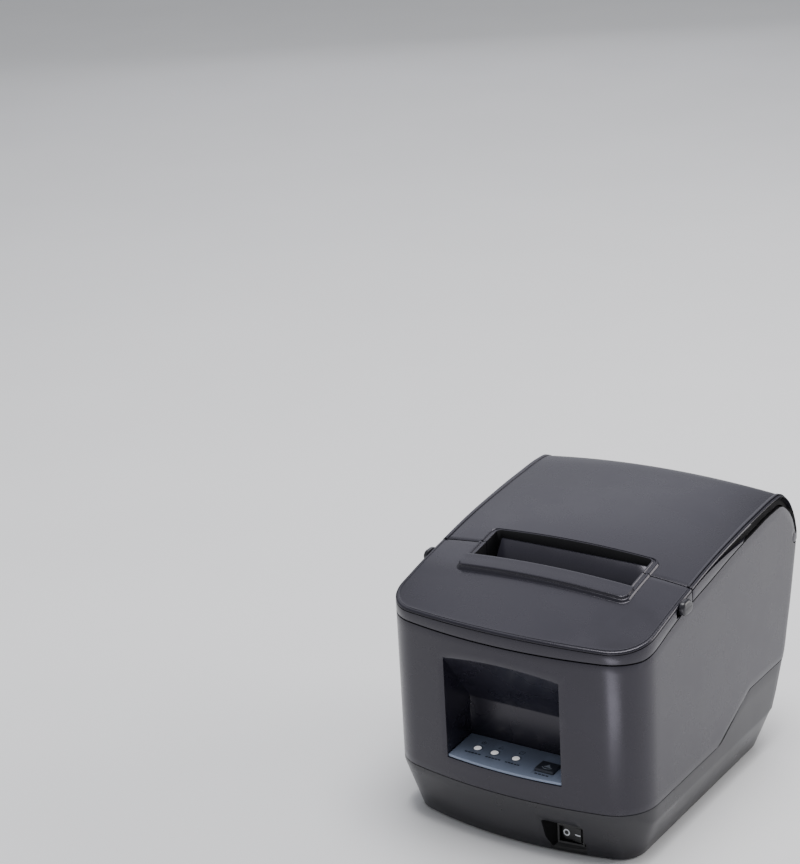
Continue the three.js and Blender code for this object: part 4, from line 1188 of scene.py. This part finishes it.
# the switch pocket walls are in the darker plastic as painted shade
finish_piece(walls, "printer_body", "base_plastic", "inner_plastic")
finish_piece(bay, "printer_body", "base_plastic")
finish_piece(posts, "printer_body", "base_plastic")
finish_piece(house, "printer_body", "housing_plastic", rep=("main_housing",))
finish_piece(lugs, "printer_body", "housing_plastic")
finish_piece(cover, "printer_body", "housing_plastic", rep=("front_cover",))
finish_piece(frame_front, "printer_body", "housing_plastic")
finish_piece(ledge, "printer_body", "housing_plastic")
finish_piece(tongue, "printer_body", "housing_plastic")
finish_piece(lid, "lid", "housing_plastic", rep=("paper_lid",))
finish_piece(frame_rear, "lid", "housing_plastic")
finish_piece(chute, "lid", "housing_plastic")
finish_piece(roll_edge, "lid", "housing_plastic")
finish_piece(rails, "lid", "housing_plastic")
finish_piece(panel, "printer_body", "panel_film", rep=("control_panel",))
for i, o in enumerate(lenses):
    finish_piece(o, "printer_body", "lamp_plastic", rep=("lamp_lens_%d" % (i + 1),))
finish_piece(lamp_rings, "printer_body", "panel_film", "lamp_ring")
finish_piece(marks, "printer_body", "panel_film", "mark_dark")
finish_piece(button, "feed_button", "button_plastic", rep=("feed_button",))
finish_piece(button_mark, "feed_button", "button_plastic", "mark_grey")
finish_piece(rocker, "switch_rocker", "switch_plastic", rep=("switch_rocker",))
finish_piece(rocker_mark, "switch_rocker", "switch_plastic", "mark_white")
for side, (arm, kn) in knobs.items():
    finish_piece(arm, "release_bar", "inner_plastic", rep=("release_knob_" + side,))
    finish_piece(kn, "release_bar", "inner_plastic", "base_plastic")
for o, nd in feet:
    finish_piece(o, "printer_body", "rubber", rep=(nd,))


def face_slots(ob, mat_name, test):
    ob.data.materials.append(M[mat_name])
    k = len(ob.data.materials) - 1
    for p in ob.data.polygons:
        if test(p.center * 1000.0 - Vector(SHIFT), p.normal):
            p.material_index = k


# the painted shade gets a weak specular so it stays black
for nd_ in M["painted_shade_black"].node_tree.nodes:
    if nd_.type == "BSDF_PRINCIPLED":
        nd_.inputs["Specular IOR Level"].default_value = 0.12
for nd_ in M["housing_plastic"].node_tree.nodes:
    if nd_.type == "BSDF_PRINCIPLED":
        nd_.inputs["Specular Tint"].default_value = (0.965, 0.93, 1.0, 1.0)
# painted shade: near-black on the lid's side faces below the edge fillet, on the recessed band and, behind y 38, on the
# flush band too
face_slots(lid, "painted_shade_black", lambda c_, n_: 68.5 < abs(c_.x) and (abs(c_.x) < 72.05 or c_.y > 38) and n_.x * c_.x > 0 and abs(n_.x) > 0.75)
# faces of the base inside the switch pocket; these get the darker plastic as painted shade
def pocket_face(c_, n_):
    ys_ = FRONT_Y + 7.9 * max(0.0, (27 - c_.z) / 27) + BOW * (c_.x / HALF_W) ** 2
    return 15 < c_.x < 42 and 0.2 < c_.z < 23.5 and ys_ + 0.25 < c_.y < -80


# painted shade: the base's faces in the switch pocket get the darker plastic
face_slots(base, "inner_plastic", pocket_face)
# painted shade: the pocket faces turned to the right get near-black
face_slots(base, "painted_shade_black", lambda c_, n_: pocket_face(c_, n_) and n_.x > 0.25)
# painted shade: the left part of the switch pocket walls is near-black
face_slots(walls, "painted_shade_black", lambda c_, n_: c_.x < 26.0)
# painted shade: the housing's top rim under the lid edge gets the darker plastic so the parting gap reads black
face_slots(house, "inner_plastic", lambda c_, n_: c_.y > -60 and abs(c_.x) < 72.4 and c_.z > part_side(min(c_.y, 75)) - 1.2 - (0 if c_.y < 75 else 40) and n_.z > 0.45 and c_.z > 112)
# painted shade: the slot frame's inner walls below the rim get the darker plastic
face_slots(frame_rear, "inner_plastic", lambda c_, n_: abs(c_.x) < 45.5 and c_.y < -16.4 and c_.z < top_z(c_.x, c_.y) + 0.5 and n_.z < 0.5)
face_slots(frame_front, "inner_plastic", lambda c_, n_: abs(c_.x) < 45.5 and -43.3 < c_.y and c_.z < top_z(c_.x, c_.y) + 0.5 and n_.z < 0.5)

for nd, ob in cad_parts.items():
    if ob.hide_render:
        continue
    sl = SLOT_OF[nd]
    ob.data.materials.clear()
    ob.data.materials.append(M[sl])
    for p in ob.data.polygons:
        p.use_smooth = False
    mod = ob.modifiers.new("edges", "BEVEL")
    mod.width = 0.00014
    mod.segments = 1
    mod.limit_method = "ANGLE"
    mod.angle_limit = math.radians(40)

# ------------------------------------------------------------------ floor and light
b = Build()
n = 12
b.rows([[(-7000 + 14000 * i / n, -5000 + 14000 * j / n + 1.35, -1.0) for i in range(n + 1)] for j in range(n + 1)])
floor = b.object("floor_sheet")
floor.data.materials.append(material("floor_paper", (0.90, 0.90, 0.90), 0.7, var=0.01, vscale=6, grain=0.0, gscale=400, bump=0.05, bscale=600))
if floor.data.polygons[0].normal.z < 0:
    floor.data.flip_normals()
floor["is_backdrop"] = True

world = bpy.data.worlds.new("studio")
bpy.context.scene.world = world
world.use_nodes = True
bg = next(x for x in world.node_tree.nodes if x.type == "BACKGROUND")
bg.inputs["Color"].default_value = (0.93, 0.95, 1.0, 1.0)
bg.inputs["Strength"].default_value = 0.40


def area(name, at_, to_, size, power, col=(1, 1, 1), sy=None):
    d = bpy.data.lights.new(name, "AREA")
    d.shape = "RECTANGLE"
    d.size, d.size_y = size, sy or size
    d.energy = power
    d.color = col
    o = bpy.data.objects.new(name, d)
    bpy.context.scene.collection.objects.link(o)
    o.location = at_
    v = Vector(to_) - Vector(at_)
    o.rotation_euler = v.to_track_quat("-Z", "Y").to_euler()
    return o


area("key_right", (1.25, 1.15, 0.62), (0.06, 0.02, 0.05), 1.1, 18.5, (1.0, 0.97, 0.95))
area("top_soft", (0.1, 0.1, 2.0), (0, 0, 0.0), 1.1, 39, (0.98, 0.98, 1.0))
area("back_glare", (-1.25, 1.8, 0.85), (0, 0, 0.12), 1.3, 2.4, (0.90, 0.90, 1.0))
area("back_high", (-0.85, 1.15, 1.45), (0, 0, 0.12), 1.0, 2.6, (0.90, 0.90, 1.0))
strip = area("floor_card", (0.130, -0.33, 0.004), (0.130, -0.33, 1.0), 0.09, 0.27, (0.90, 0.90, 1.0), 0.26)
strip.visible_camera = False

# ------------------------------------------------------------------ sizes
lo_v, hi_v = None, None
bpy.context.view_layer.update()
dg = bpy.context.evaluated_depsgraph_get()
P_lo, P_hi = np.array((9.0,) * 3), np.array((-9.0,) * 3)
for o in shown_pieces():
    e = o.evaluated_get(dg)
    me = e.to_mesh()
    co = np.empty(len(me.vertices) * 3)
    if not len(co):
        continue
    me.vertices.foreach_get("co", co)
    co = co.reshape(-1, 3)
    mw = np.array(e.matrix_world)
    co = co @ mw[:3, :3].T + mw[:3, 3]
    P_lo, P_hi = np.minimum(P_lo, co.min(0)), np.maximum(P_hi, co.max(0))
    e.to_mesh_clear()
